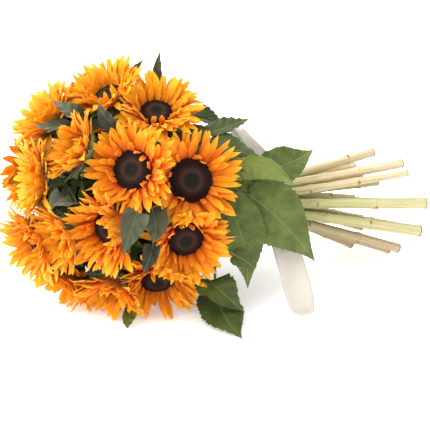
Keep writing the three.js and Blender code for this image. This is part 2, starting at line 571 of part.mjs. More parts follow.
function leafyStem(head, petals) {
  const path = stemPath(head);
  const points = [];
  const faces = [];
  const add = (p) => points.push(p) - 1;
  const at = (k) => (2 * Math.PI * k) / BRACT_COUNT;
  const walls = wallsOf(head);
  const cup = head.disc + RING_WIDTH;
  const plate = RING_BOTTOM - DISC_DEPTH / 6;
  const notch = [];
  const tips = [];
  const under = [];
  for (let k = 0; k < BRACT_COUNT; k += 1) {
    notch.push(add(inFrame(head, at(k - 0.5), cup, plate - FIT_GAP)));
    const near = petals.filter((petal) => Math.cos(petal.round - at(k)) > 0.7).map((petal) => petal.rise);
    const highest = Math.min(BRACT_HIGHEST, Math.min(...near) - PETAL_ARCH);
    const bractTip = (length, rise) =>
      inFrame(head, at(k), cup + length * Math.cos(rise * RAD), plate - 2 + length * Math.sin(rise * RAD));
    let tip = bractTip(BRACT_SHARES[BRACT_SHARES.length - 1] * BRACT_LENGTH, BRACT_LOWEST);
    search: for (const share of BRACT_SHARES) {
      for (let rise = highest; rise >= BRACT_LOWEST; rise -= BRACT_STEP) {
        const tried = bractTip(share * BRACT_LENGTH, rise);
        if (walls.every((wall) => tried.dot(wall.normal) <= wall.limit)) {
          tip = tried;
          break search;
        }
      }
    }
    tips.push(add(tip));
    under.push(add(inFrame(head, at(k), cup - 1, plate - 5)));
  }
  const plateMiddle = add(inFrame(head, 0, 0, plate - FIT_GAP));
  const sections = [
    { out: CUP_SHARE * head.disc, up: -CUP_DEPTH },
    { out: NECK_RADIUS, up: -NECK_DEPTH },
  ].map(({ out, up }) => Array.from({ length: STEM_SIDES }, (_, k) => add(inFrame(head, at(k), out, up))));
  const outward = head.side.clone();
  for (const t of STEM_STATIONS) {
    const { centre, radius } = path(t);
    const ahead = path(Math.min(1, t + 0.01)).centre;
    const behind = path(Math.max(-1, t - 0.01)).centre;
    const tangent = ahead.sub(behind).normalize();
    outward.addScaledVector(tangent, -outward.dot(tangent)).normalize();
    const sideways = new THREE.Vector3().crossVectors(tangent, outward).negate();
    const section = Array.from({ length: STEM_SIDES }, (_, k) => {
      const [over, aside] = [radius * Math.cos(at(k)), radius * Math.sin(at(k))];
      return add(centre.clone().addScaledVector(outward, over).addScaledVector(sideways, aside));
    });
    sections.push(section);
  }
  const rows = [under, ...sections];
  const last = rows[rows.length - 1];
  for (let k = 0; k < STEM_SIDES; k += 1) {
    const next = (k + 1) % STEM_SIDES;
    faces.push([plateMiddle, notch[k], notch[next]], [notch[k], tips[k], notch[next]]);
    faces.push([notch[k], under[k], tips[k]], [tips[k], under[k], notch[next]]);
    faces.push([notch[next], under[k], under[next]]);
    for (let i = 0; i + 1 < rows.length; i += 1) {
      faces.push([rows[i][k], rows[i + 1][k], rows[i + 1][next]]);
      faces.push([rows[i][k], rows[i + 1][next], rows[i][next]]);
    }
    if (k > 0 && k + 1 < STEM_SIDES) faces.push([last[0], last[next], last[k]]);
  }
  const stem = surface(points, faces);
  const grown = LEAVES.filter((leaf) => leaf.head === head.index + 1);
  const leaves = grown.flatMap((leaf) => leafSurfaces(leaf, path));
  return leaves.length ? fused([stem, ...leaves]) : stem;
}

// Ribbon: a band round the stems at the tie, and a bow on it with a standing loop and two tails.
const RIBBON_WIDTH = 37;
const RIBBON_THICKNESS = 1;
const BAND_WIDTH = 32;
const BAND_SIDES = 24; // every other flat lies on a stem of the outer ring
const BAND_STATIONS = [-0.5, 0, 0.5];

// The reach of the outermost stem, measured along the straight pieces between the stems' sections.
const bandRadius = (along) => {
  const reach = heads.map((head) => {
    const sections = STEM_STATIONS.map((t) => stemPath(head)(t)).map(({ centre, radius }) => {
      const from = centre.clone().sub(TIE_CENTRE);
      const at = from.dot(AXIS);
      return { at, from: from.addScaledVector(AXIS, -at), radius };
    });
    const i = sections.findIndex((section) => section.at > along);
    const [a, b] = [sections[i - 1], sections[i]];
    const t = (along - a.at) / (b.at - a.at);
    return a.from.clone().lerp(b.from, t).length() + mix(a.radius, b.radius, t);
  });
  return (Math.max(...reach) + FIT_GAP) / Math.cos(Math.PI / BAND_SIDES);
};

function ribbonBand() {
  const points = [];
  const faces = [];
  const radii = BAND_STATIONS.map((share) => bandRadius(share * BAND_WIDTH));
  const ring = (i, thick) =>
    Array.from({ length: BAND_SIDES }, (_, k) => {
      const round = OUTER_RING_START + (360 * (k + 0.5)) / BAND_SIDES;
      return points.push(across(BAND_STATIONS[i] * BAND_WIDTH, round, radii[i] + thick)) - 1;
    });
  const outside = [0, 1, 2].map((i) => ring(i, RIBBON_THICKNESS));
  const inside = [2, 1, 0].map((i) => ring(i, 0));
  const loop = [...outside, ...inside];
  for (let k = 0; k < BAND_SIDES; k += 1) {
    const next = (k + 1) % BAND_SIDES;
    loop.forEach((row, i) => {
      const after = loop[(i + 1) % loop.length];
      faces.push([row[k], after[k], after[next]], [row[k], after[next], row[next]]);
    });
  }
  return surface(points, faces);
}

// A strip of ribbon along its middle line, as wide as the ribbon across the direction given at each point.
function strip(line, widths) {
  const points = [];
  const faces = [];
  line.forEach((p, i) => {
    const centre = vec(...p);
    const behind = vec(...line[Math.max(i - 1, 0)]);
    const along = vec(...line[Math.min(i + 1, line.length - 1)]).sub(behind).normalize();
    const wide = vec(...widths[i]);
    const half = wide.length() / 2;
    wide.addScaledVector(along, -wide.dot(along)).normalize();
    const up = new THREE.Vector3().crossVectors(along, wide);
    for (const [edge, face] of [[-1, -1], [1, -1], [1, 1], [-1, 1]]) {
      const lift = (face * RIBBON_THICKNESS) / 2;
      points.push(centre.clone().addScaledVector(wide, edge * half).addScaledVector(up, lift));
    }
  });
  for (let i = 0; i + 1 < line.length; i += 1) {
    for (let k = 0; k < 4; k += 1) {
      const [a, b] = [4 * i + k, 4 * i + ((k + 1) % 4)];
      // the two broad faces, 0 and 2, are split along the same slant
      if (k === 2) faces.push([a, b, a + 4], [b, b + 4, a + 4]);
      else faces.push([a, b, b + 4], [a, b + 4, a + 4]);
    }
  }
  const end = 4 * (line.length - 1);
  faces.push([0, 2, 1], [0, 3, 2], [end, end + 1, end + 2], [end, end + 2, end + 3]);
  return surface(points, faces);
}

// The middle line of the standing loop and of the longer tail, from the knot on.
const LOOP_LINE = [
  [186, 6, 160],
  [168, 14, 180],
  [160, 13, 195],
  [160, 5, 197],
  [167, -9, 184],
  [184, -18, 162],
];
const TAIL_LINE = [
  [188, -42, 122],
  [188, -64, 98],
  [189, -88, 66],
  [190, -112, 36],
  [191, -133, 9],
  [192, -141, 1.8],
  [193, -149, 0.9],
];
const TAIL_TURN = [4, 8, 8, 4, 1, 0, 0]; // how far the tail's edges stand one above the other
const KNOT_RADIUS = 4.5;
const KNOT_LENGTH = 12;
const KNOT_ROUND = 62; // where the knot sits, round the tie
const KNOT_STANDS = 0.2; // clear of the band, past the gap
const PINCHED = [10, 0, 0]; // the ribbon's width where it goes into the knot

function ribbonBow() {
  const bandOut = bandRadius(0) + RIBBON_THICKNESS;
  const middle = across(0, KNOT_ROUND, bandOut + FIT_GAP + KNOT_RADIUS + KNOT_STANDS);
  const knot = middle.toArray();
  const spread = [RIBBON_WIDTH, 0, 0];
  const drawnIn = [0.7 * RIBBON_WIDTH, 0, 0];
  const loop = strip(
    [knot, ...LOOP_LINE, knot],
    [PINCHED, drawnIn, spread, spread, spread, spread, drawnIn, PINCHED],
  );
  const tail = strip(
    [knot, ...TAIL_LINE],
    [PINCHED, ...TAIL_TURN.map((turn, i) => [(i ? 1 : 0.6) * RIBBON_WIDTH, 0, turn])],
  );
  const ends = [-0.5, 0.5].map((share) => middle.clone().add(vec(share * KNOT_LENGTH, 0, 0)));
  return fused([loop, tail, tube(ends.map((centre) => ({ centre, radius: KNOT_RADIUS })), 8)]);
}

const group = new THREE.Group();
const finish = {
  petals: new THREE.MeshStandardMaterial({ color: 0xf7930f, roughness: 0.6, metalness: 0 }),
  disc: new THREE.MeshStandardMaterial({ color: 0x2a1a17, roughness: 0.95, metalness: 0 }),
  green: new THREE.MeshStandardMaterial({ color: 0x8ea25a, roughness: 0.7, metalness: 0 }),
  ribbon: new THREE.MeshStandardMaterial({ color: 0xf3ead6, roughness: 0.5, metalness: 0 }),
};
const show = (name, geometry, material) => {
  const mesh = new THREE.Mesh(geometry, material);
  mesh.name = name;
  group.add(mesh);
};

heads.forEach((head) => {
  const number = String(head.index + 1).padStart(2, "0");
  const petals = petalsOf(head);
  show(`stem_${number}`, leafyStem(head, petals), finish.green);
  show(`disc_${number}`, seedDisc(head), finish.disc);
  show(`petals_${number}`, petalRing(head, petals), finish.petals);
});

show("ribbon_band", ribbonBand(), finish.ribbon);
show("ribbon_bow", ribbonBow(), finish.ribbon);

export default group;
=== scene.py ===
import math

import bmesh
import bpy
import numpy as np
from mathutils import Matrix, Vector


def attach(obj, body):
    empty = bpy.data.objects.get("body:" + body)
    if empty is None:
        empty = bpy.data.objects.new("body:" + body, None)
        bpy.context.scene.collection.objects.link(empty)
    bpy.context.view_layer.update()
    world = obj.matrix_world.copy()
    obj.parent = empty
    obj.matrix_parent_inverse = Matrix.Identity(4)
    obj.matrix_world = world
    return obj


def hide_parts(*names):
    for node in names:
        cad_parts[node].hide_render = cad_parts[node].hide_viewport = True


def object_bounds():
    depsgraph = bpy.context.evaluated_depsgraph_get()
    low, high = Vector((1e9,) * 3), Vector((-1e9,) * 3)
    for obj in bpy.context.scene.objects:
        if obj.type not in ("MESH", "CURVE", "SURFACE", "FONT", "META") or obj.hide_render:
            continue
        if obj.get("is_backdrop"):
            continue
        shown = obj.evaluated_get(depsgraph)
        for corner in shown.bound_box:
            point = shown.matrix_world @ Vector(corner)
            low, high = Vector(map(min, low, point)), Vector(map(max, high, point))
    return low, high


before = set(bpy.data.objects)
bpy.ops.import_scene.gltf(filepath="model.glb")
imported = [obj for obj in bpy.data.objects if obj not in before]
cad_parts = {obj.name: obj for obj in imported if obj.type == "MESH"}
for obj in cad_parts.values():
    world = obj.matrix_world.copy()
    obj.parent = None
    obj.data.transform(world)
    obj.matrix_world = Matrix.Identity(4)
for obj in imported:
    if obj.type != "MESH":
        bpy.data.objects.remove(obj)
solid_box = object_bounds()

# Seed discs
# The dark middle of each sunflower: a shallow dished cushion that grows on the end of the stem, crowded with
# florets in two sets of spirals. The outer ones are open and brown, the inner ones are shut buds.

BALL_CENTRE = np.array([3.0, 2.0, 134.0])  # millimetres, as all sizes here
BALL_RADIUS = 128.0


def flower(at, face, disc, petal, rise, slot, foot, **more):
    """A head's place on the ball and the way it faces, in degrees from the front and round from the near
    side, its disc, the length and rise of its petals, and its stem's slot in the tie and cut end."""
    return dict(at=at, face=face, disc=disc, petal=petal, rise=rise, slot=slot, foot=foot, **more)


HEADS = [
    flower((104, 66), (84, 60), 21, 37, 24, 13, (112, 68, 164, 6.2)),
    flower((83, 88), (66, 76), 20, 36, 36, 14, (140, 56, 150, 5.6)),
    flower((50, 100), (46, 96), 21, 37, 38, 5, (120, 34, 150, 5.6)),
    flower((57, 51), (34, 90), 19, 34, 40, 4, (78, 32, 162, 5.4), bow=0.65),
    flower((28, 44), (10, 120), 20, 36, 38, 0, (200, 8, 150, 5.4)),
    flower((82, 31), (56, 28), 24, 36, 30, 12, (78, 62, 190, 6), bow=0.65),
    flower((115, 22), (86, 20), 27, 38, 20, 11, (62, 59, 192, 4.6)),
    flower((67, 0), (40, 2), 22, 38, 36, 10, (20, 56, 214, 7.6)),
    flower((110, -13), (84, -8), 23, 37, 20, 9, (-18, 60, 212, 7.8)),
    flower((97, -43), (78, -28), 22, 38, 18, 8, (-52, 64, 196, 6.2)),
    flower((24, -50), (26, -30), 21, 38, 36, 2, (-38, 36, 190, 5.6)),
    flower((43, -10), (18, -50), 18, 34, 40, 3, (22, 28, 158, 5), bow=0.5),
    flower((54, -78), (48, -66), 20, 36, 34, 1, (-100, 38, 160, 5.4)),
    flower((74, -50), (60, -50), 19, 35, 36, 7, (-82, 64.3, 200, 5.6), bow=0.85),
    flower((44, 172), (42, 172), 22, 38, 18, 6, (190, 28, 150, 5.6)),
    flower((80, 136), (70, 136), 22, 38, 18, 15, (172, 55, 154, 6.6)),
    flower((70, 220), (64, 212), 21, 38, 18, 17, (222, 58, 177, 6)),
    flower((90, -90), (90, -90), 20, 36, 4, 18, (-110, 75.2, 160, 5.6), out=132),
    flower((112, 176), (88, 176), 22, 38, 18, 16, (200, 55, 177, 6)),
]


def unit(arrow):
    return arrow / np.linalg.norm(arrow)


def direction(off, around):
    off, around = math.radians(off), math.radians(around)
    aside = math.sin(off)
    return np.array([-math.cos(off), -aside * math.cos(around), aside * math.sin(around)])


for number, head in enumerate(HEADS, 1):
    head["number"] = number
    head["centre"] = BALL_CENTRE + head.get("out", BALL_RADIUS) * direction(*head["at"])
    head["normal"] = direction(*head["face"])
    side = np.cross((0, 0, 1), head["normal"])
    head["side"] = unit(side) if np.linalg.norm(side) > 0.1 else np.array([0.0, 1.0, 0.0])
    head["above"] = np.cross(head["normal"], head["side"])


def in_head(head, places):
    """Points given across, up and out of the face of a head."""
    return head["centre"] + places @ np.array([head["side"], head["above"], head["normal"]])


def opened(name):
    """The shape that was just added, named and open for editing."""
    shape = bpy.context.object
    shape.name = name
    bpy.ops.object.mode_set(mode="EDIT")
    bpy.ops.mesh.select_mode(type="VERT")
    return shape


def choose(shape, test):
    """Selects the points of an open shape that pass the test, and what lies between them."""
    body = bmesh.from_edit_mesh(shape.data)
    for point in body.verts:
        point.select = bool(test(point.co))
    body.select_flush_mode()
    bmesh.update_edit_mesh(shape.data)


def pattern_of(shape):
    """A finished shape as a pattern to copy: its points, its faces and their finishes."""
    bpy.ops.object.mode_set(mode="OBJECT")
    places = np.empty(3 * len(shape.data.vertices))
    shape.data.vertices.foreach_get("co", places)
    faces = [tuple(face.vertices) for face in shape.data.polygons]
    finishes = [face.material_index for face in shape.data.polygons]
    bpy.data.objects.remove(shape)
    return places.reshape(-1, 3), faces, finishes


def closed_pattern(shape):
    """The pattern of a closed shape, once its faces point outwards."""
    bpy.ops.mesh.select_all(action="SELECT")
    bpy.ops.mesh.normals_make_consistent(inside=False)
    return pattern_of(shape)


def marks_from(*numbers):
    """Three marks for each point of a copy; a single number goes for all its points."""
    return np.column_stack(np.broadcast_arrays(*numbers))


def piece(name, copies, finishes, crease=50, lowest=-math.inf):
    """One piece from placed copies of patterns, each with its marks and the first of its finishes."""
    places, marks, faces, slots, first = [], [], [], [], 0
    for (_, corners, kinds), placed, mark, kind in copies:
        places.append(np.maximum(placed, (-math.inf, -math.inf, lowest)))
        marks.append(mark)
        faces += [tuple(first + corner for corner in face) for face in corners]
        slots += [kind + one for one in kinds]
        first += len(placed)
    mesh = bpy.data.meshes.new(name)
    mesh.from_pydata((np.concatenate(places) * 0.001).tolist(), [], faces)
    mesh.polygons.foreach_set("material_index", slots)
    marking = mesh.attributes.new("mark", "FLOAT_VECTOR", "POINT")
    marking.data.foreach_set("vector", np.concatenate(marks).ravel())
    for finish in finishes:
        mesh.materials.append(finish)
    made = bpy.data.objects.new(name, mesh)
    bpy.context.collection.objects.link(made)
    bpy.ops.object.select_all(action="DESELECT")
    made.select_set(True)
    bpy.context.view_layer.objects.active = made
    bpy.ops.object.shade_smooth_by_angle(angle=math.radians(crease))
    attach(made, "root")
    return made


def tint(colour):
    """A colour of the paint chart, from 0 to 255, as a finish takes it."""
    return tuple((value / 255) ** 2.2 for value in colour) + (1,)


class Wire:
    """What a node of a finish gives, which varies over the piece, and the sums made on it."""

    def __init__(self, socket):
        self.socket = socket

    def node(self, kind, inputs, out=0, **settings):
        """What a new node of the same finish gives, from wires, numbers or colours led into it."""
        tree = self.socket.id_data
        made = tree.nodes.new("ShaderNode" + kind)
        for name, value in settings.items():
            setattr(made, name, value)
        for place, value in inputs.items():
            if isinstance(value, Wire):
                tree.links.new(value.socket, made.inputs[place])
            else:
                made.inputs[place].default_value = value
        return Wire(made.outputs[out])

    def sum(self, kind, other=0.0):
        return self.node("Math", {0: self, 1: other}, operation=kind)

    def __add__(self, other):
        return self.sum("ADD", other)

    def __sub__(self, other):
        return self.sum("SUBTRACT", other)

    def __rsub__(self, number):
        return self.node("Math", {0: number, 1: self}, operation="SUBTRACT")

    def __mul__(self, other):
        return self.sum("MULTIPLY", other)


def with_parts(vector):
    """A vector, and its three numbers apart."""
    apart = vector.node("SeparateXYZ", {0: vector})
    return [vector] + [Wire(socket) for socket in apart.socket.node.outputs]


def ramp(value, colours):
    """A blend of colours as the value goes from 0 to 1."""
    made = value.node("ValToRGB", {0: value})
    stops = made.socket.node.color_ramp.elements
    stops.remove(stops[0])
    stops[0].position, stops[0].color = colours[0][0], tint(colours[0][1])
    for place, colour in colours[1:]:
        stops.new(place).color = tint(colour)
    return made


def speckle(place, stretch, scale, detail=3):
    """Soft uneven noise, stretched along three directions."""
    placed = place.node("Mapping", {"Vector": place, "Scale": stretch})
    return place.node("TexNoise", {"Vector": placed, "Scale": scale, "Detail": detail}, "Fac")


def blended(share, first, second):
    """Two colours mixed by a share."""
    first, second = (colour if isinstance(colour, Wire) else tint(colour) for colour in (first, second))
    return share.node("Mix", {0: share, 6: first, 7: second}, 2, data_type="RGBA")


def finish_of(
        name, rough, colour, height=None, depth=0.0005, strength=0.5, through=0.0, sheen=0.0, shine=0.5):
    """A finish whose colour and relief are made from the marks of its piece, whole and one by one."""
    made = bpy.data.materials.new(name)
    made.use_nodes = True
    tree = made.node_tree
    skin = tree.nodes["Principled BSDF"]
    for socket, value in (("Roughness", rough), ("Sheen Weight", sheen), ("Specular IOR Level", shine)):
        skin.inputs[socket].default_value = value
    mark = tree.nodes.new("ShaderNodeAttribute")
    mark.attribute_name = "mark"
    marks = with_parts(Wire(mark.outputs["Vector"]))
    shade = colour(*marks)
    tree.links.new(shade.socket, skin.inputs["Base Color"])
    if height:
        relief = shade.node("Bump", {"Strength": strength, "Distance": depth, "Height": height(*marks)})
        tree.links.new(relief.socket, skin.inputs["Normal"])
    if through:
        glow = shade.node("BsdfTranslucent", {"Color": shade})
        both = shade.node("MixShader", {0: through, 1: Wire(skin.outputs[0]), 2: glow})
        tree.links.new(both.socket, tree.nodes["Material Output"].inputs["Surface"])
    return made


def seed_colour(place, share, height, tone):
    rings = ramp(share, [
        (0.0, (30, 30, 28)), (0.26, (28, 26, 24)), (0.46, (62, 43, 33)), (0.6, (43, 27, 24)),
        (0.8, (27, 17, 18)), (0.94, (38, 22, 19)), (1.0, (84, 38, 18)),
    ])
    return blended(height * height * (tone * 0.5), rings, (74, 47, 35))


DISC_FINISH = finish_of(
    "seed_florets", 0.85, seed_colour, lambda place, *marks: speckle(place, (60, 9, 9), 3),
    depth=0.001, strength=0.8, shine=0.25,
)

DISC_DISH, DISC_CROWN = 3.4, 2.4
CUSHION_RINGS = (0.97, 0.9, 0.8, 0.68, 0.54, 0.4, 0.26, 0.12)
CUSHION_SIDES = 40
CUSHION_EDGE, CUSHION_SUNK, CUSHION_DEPTH = 1.2, 1.6, 5.0
OPEN_TALL = 2.4
FLORET_COUNT = 230
FLORET_SPREAD, FLORET_SUNK = 0.985, 2.2
OPEN_FROM, OPEN_UNEVEN = 0.6, 0.05  # the share of the disc where open florets begin
FLORET_LEAN, LEAN_UNEVEN = 0.75, 0.1
USUAL_DISC = 22
GOLDEN_TURN = math.radians(137.508)
DISC_LUCK = 699


def disc_height(share):
    return DISC_DISH + DISC_CROWN * math.sin(math.pi * min(1, share * 1.1)) - DISC_DISH * share**4


bpy.ops.object.select_all(action="DESELECT")
bpy.ops.mesh.primitive_circle_add(vertices=CUSHION_SIDES, radius=1, fill_type="NGON", location=(0, 0, 0))
cushion = opened("cushion")
bpy.ops.mesh.select_all(action="SELECT")
bpy.ops.transform.translate(value=(0, 0, -CUSHION_EDGE))
reached, level = 1.0, -CUSHION_EDGE
for share in CUSHION_RINGS:
    bpy.ops.mesh.inset(thickness=(reached - share) * math.cos(math.pi / CUSHION_SIDES))
    bpy.ops.transform.translate(value=(0, 0, disc_height(share) - CUSHION_SUNK - level))
    reached, level = share, disc_height(share) - CUSHION_SUNK
bpy.ops.mesh.poke()
choose(cushion, lambda co: math.hypot(co.x, co.y) > 0.995)
bpy.ops.mesh.extrude_edges_move(TRANSFORM_OT_translate={"value": (0, 0, CUSHION_EDGE - CUSHION_DEPTH)})
bpy.ops.mesh.edge_face_add()
cushion = closed_pattern(cushion)


def floret(name, foot, mouth, tall, rim, lift):
    """A five-sided floret, with its mouth sunk inside the rim or drawn up to a bud."""
    bpy.ops.mesh.primitive_cone_add(
        vertices=5, radius1=foot, radius2=mouth, depth=tall, location=(0, 0, tall / 2))
    shape = opened(name)
    choose(shape, lambda co: co.z > 0.85 * tall)
    bpy.ops.mesh.inset(thickness=rim)
    bpy.ops.transform.translate(value=(0, 0, lift))
    return pattern_of(shape)


open_floret = floret("open_floret", 0.75, 1.15, OPEN_TALL, 0.4, -0.9)
shut_floret = floret("shut_floret", 1.1, 0.8, 1.0, 0.35, 0.7)

for head in HEADS:
    luck = np.random.default_rng(DISC_LUCK + head["number"])
    flat = cushion[0]
    share = np.hypot(flat[:, 0], flat[:, 1])
    placed = in_head(head, flat * (head["disc"], head["disc"], 1.0))
    copies = [(cushion, placed, marks_from(share, 0, 0.3), 0)]
    for order in range(FLORET_COUNT):
        share = FLORET_SPREAD * math.sqrt((order + 0.6) / FLORET_COUNT)
        turn = order * GOLDEN_TURN
        outward = np.array([math.cos(turn), math.sin(turn), 0.0])
        shape = open_floret if share > OPEN_FROM + OPEN_UNEVEN * luck.standard_normal() else shut_floret
        lean = FLORET_LEAN * share**3 + LEAN_UNEVEN * luck.standard_normal()
        up = unit(np.array([0, 0, 1.0]) + lean * outward)
        sideways = unit(np.cross(up, outward))
        size = head["disc"] / USUAL_DISC * luck.uniform(0.85, 1.15)
        grow = luck.uniform(0.75, 1.1)
        foot = outward * share * head["disc"] + np.array([0, 0, disc_height(share) - FLORET_SUNK])
        placed = foot + (shape[0] * (size, size, grow)) @ np.array([np.cross(sideways, up), sideways, up])
        marks = marks_from(share, shape[0][:, 2] / OPEN_TALL, luck.uniform(0.2, 1))
        copies.append((shape, in_head(head, placed), marks, 0))
    disc = piece(f"seed_disc_{head['number']:02d}", copies, [DISC_FINISH], crease=70, lowest=0.0)
    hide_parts(f"disc_{head['number']:02d}")

# Petals
# The ray florets: thin pointed blades, ribbed lengthwise, orange with yellower tips and a red-brown foot.
# They grow in overlapping whorls from the rim of the disc, with a few short ones curled in over it. Where
# heads are crowded they bend up or back, and keep off the leaves that come up between the heads.

FACE_FORWARD = 12.0
WALL_OVERLAP = 10.0
TABLE_GAP = 0.3
OVERHEAD_WITHIN = 20.0
OVERHEAD_SHARE = 0.6


def leaf_of(head, start, root, middle, tip, face, half, fold, **more):
    """A leaf on a numbered head's stem, from -1 at its neck to 0 at the tie: its places, the way it faces,
    its half width and fold, then its shade and waves, or the pocket of a leaf between the heads, which
    is painted near-black green as the shade that falls there."""
    places = dict(root=root, middle=middle, tip=tip, face=face)
    more.update((name, np.array(place, float)) for name, place in places.items())
    return dict(head=head, start=start, half=half, fold=fold, **more)


LEAVES = [
    leaf_of(1, -0.5, (98, -42, 211), (129, -42, 218), (158, -36, 223), (-0.1, -0.2, 1), 17, 5, shade=0.2),
    leaf_of(7, -0.6, (92, -76, 200), (128, -80, 198), (176, -66, 164), (0.1, -0.6, 0.8), 29, -7, shade=0.3),
    leaf_of(7, -0.42, (104, -84, 172), (144, -98, 184), (199, -92, 146), (0, -0.9, -0.4), 20, 7),
    leaf_of(6, -0.12, (172, -40, 156), (205, -52, 164), (237, -56, 180),
            (-0.2, -0.7, 0.6), 25, 5, shade=0.5, wavy=1.9),
    leaf_of(7, -0.36, (106, -66, 164), (140, -70, 157), (178, -66, 148), (0, 0.7, -0.7), 19, 4),
    leaf_of(9, -0.3, (137, -82, 142), (172, -108, 112), (216, -116, 55),
            (-0.2, -0.85, 0.4), 40, -7, shade=0.55, wavy=2.2),
    leaf_of(9, -0.45, (103, -90, 138), (121, -110, 98), (128, -112, 29),
            (0, -1, 0.1), 31, 6, shade=0.5, wavy=1.9),
    leaf_of(9, -0.6, (104, -123, 83), (114, -132, 78), (127, -139, 67), (0, -0.8, 0.6), 13, 3, shade=0.2),
    leaf_of(10, -0.55, (80, -104, 45), (88, -126, 38), (114, -140, 11),
            (0.1, -0.6, 0.7), 26, 5, shade=0.3, wavy=2),
    leaf_of(10, -0.3, (96, -86, 20), (87, -138, 13), (92, -188, 2), (0, -0.2, 1), 28, -4, shade=0.25, wavy=2),
    leaf_of(17, -0.5, (70, 100, 40), (80, 140, 30), (92, 178, 3), (0, 0.3, 1), 32, -4),
    leaf_of(19, -0.5, (110, 84, 150), (140, 108, 128), (166, 118, 80), (0.1, 0.9, 0.4), 34, -6),
    leaf_of(16, -0.45, (96, 60, 196), (130, 78, 196), (174, 80, 172), (0.1, 0.5, 0.8), 30, 5),
    leaf_of(8, -0.96, (-20, -141, 160), (-30, -152, 146), (-42, -152, 112),
            (-0.3, -0.9, 0.2), 15, 4, pocket=15),
    leaf_of(6, -0.94, (2, -127, 156), (1, -144, 142), (-5, -149, 121), (-0.2, -0.9, 0.3), 15, 3, pocket=15),
    leaf_of(9, -0.96, (2, -128, 112), (-6, -140, 101), (-15, -140, 80), (-0.4, -0.9, 0.1), 10, 3, pocket=9),
    leaf_of(4, -0.96, (-45, -29, 240), (-67, -33, 254), (-83, -3, 263), (-0.3, -0.6, 0.7), 10, 3, pocket=8),
    leaf_of(4, -0.86, (-62, -22, 236), (-90, -35, 238), (-110, -22, 239), (-0.4, -0.4, 0.8), 9, 3, pocket=10),
    leaf_of(6, -0.92, (-16, -70, 237), (-36, -77, 255), (-41, -63, 273), (-0.5, -0.8, 0.3), 9, 3, pocket=8),
    leaf_of(5, -0.96, (-80, -92, 160), (-95, -101, 167), (-108, -98, 164), (-0.5, -0.5, 0.7), 7, 2, pocket=6),
    leaf_of(2, -0.9, (-3, 18, 262), (21, 18, 279), (38, 12, 298), (-0.2, -0.9, 0.2), 7, 2, pocket=5),
    leaf_of(1, -0.88, (54, 12, 252), (55, 11, 280), (56, 4, 309), (-0.5, -0.8, 0.2), 7, 2, pocket=5),
    leaf_of(14, -0.9, (-10, -82, 14), (-23, -102, 7), (-28, -117, 3), (-0.1, -0.5, 1), 8, 2, shade=0.6),
    # This leaf fills a gap between the heads and takes the darkest tone, 0.15, as painted shade for that gap.
    leaf_of(1, -0.8, (58, -46, 205), (82, -47, 213), (107, -44, 218),
            (-0.1, -0.8, 0.5), 16, 4, shade=0.15, wavy=2),
]
WHORLS = [  # petals, how far they stand, length, foot below the face, width, and how far in from the rim
    dict(count=27, stand=-3, long=1.05, foot=-3.4, wide=1.0, inset=-0.9),
    dict(count=26, stand=9, long=1.04, foot=-2.6, wide=0.96, inset=-0.6),
    dict(count=21, stand=21, long=0.92, foot=-1.8, wide=0.88, inset=0.3),
    dict(count=12, stand=40, long=0.6, foot=-0.6, wide=0.74, inset=1.6),
]
DROOPING = dict(count=24, stand=-44, long=0.84, foot=-4.2, wide=0.95, inset=-1.2)  # bent back over the bracts
DROOPING_HEADS = (3, 5, 13)
CALM_HEADS = (3, 4, 5, 12, 13, 14)  # with broader, flatter petals
CALM_SHARE, CALM_WIDER = 0.5, 1.12
GOLDEN = {  # the yellower flowers
    1: 1.4, 2: 1.8, 3: 1.9, 4: 1.0, 5: 1.5, 7: 0.2, 10: 0.5, 11: 0.9, 12: 0.9, 13: 0.9, 14: 0.7, 15: 1.2,
    16: 0.9, 17: 0.6,
}
PETAL_HALF, PETAL_THICK = 4.6, 0.6
PETAL_COLUMNS, PETAL_ROWS = 6, 9
RIB_DEPTH = 0.36
STEPS = np.linspace(0, 1, 17)
RISE_STEPS = [(1 if i % 2 else -1) * math.ceil(i / 2) * 4 for i in range(44)]
LOWEST_RISE, HIGHEST_RISE = math.radians(-84), math.radians(96)
TRIES = 7
SHORTER, NARROWER = 0.88, 0.94
PETAL_LUCK = 99


def walls_of(head):
    """The planes between a head and its neighbours, and how far a petal may go along each."""
    middle = head["centre"] + FACE_FORWARD * head["normal"]
    arrows, limits = [np.array([0, 0, -1.0])], [-TABLE_GAP]
    for other in HEADS:
        if other is not head:
            away = other["centre"] + FACE_FORWARD * other["normal"] - middle
            far = np.linalg.norm(away)
            arrows.append(away / far)
            own = far * head["disc"] / (head["disc"] + other["disc"])
            limits.append(middle @ arrows[-1] + own + WALL_OVERLAP)
    for leaf in LEAVES:
        if "pocket" in leaf:
            place = leaf["middle"]
            aside = place - head["centre"]
            aside -= (aside @ head["normal"]) * head["normal"]
            overhead = np.linalg.norm(aside) < head["disc"] + OVERHEAD_WITHIN
            start = head["centre"] + head["disc"] * unit(aside) if overhead else middle
            arrows.append(unit(place - start))
            limits.append(place @ arrows[-1] - leaf["pocket"] * (OVERHEAD_SHARE if overhead else 1))
    return np.array(arrows).T, np.array(limits)


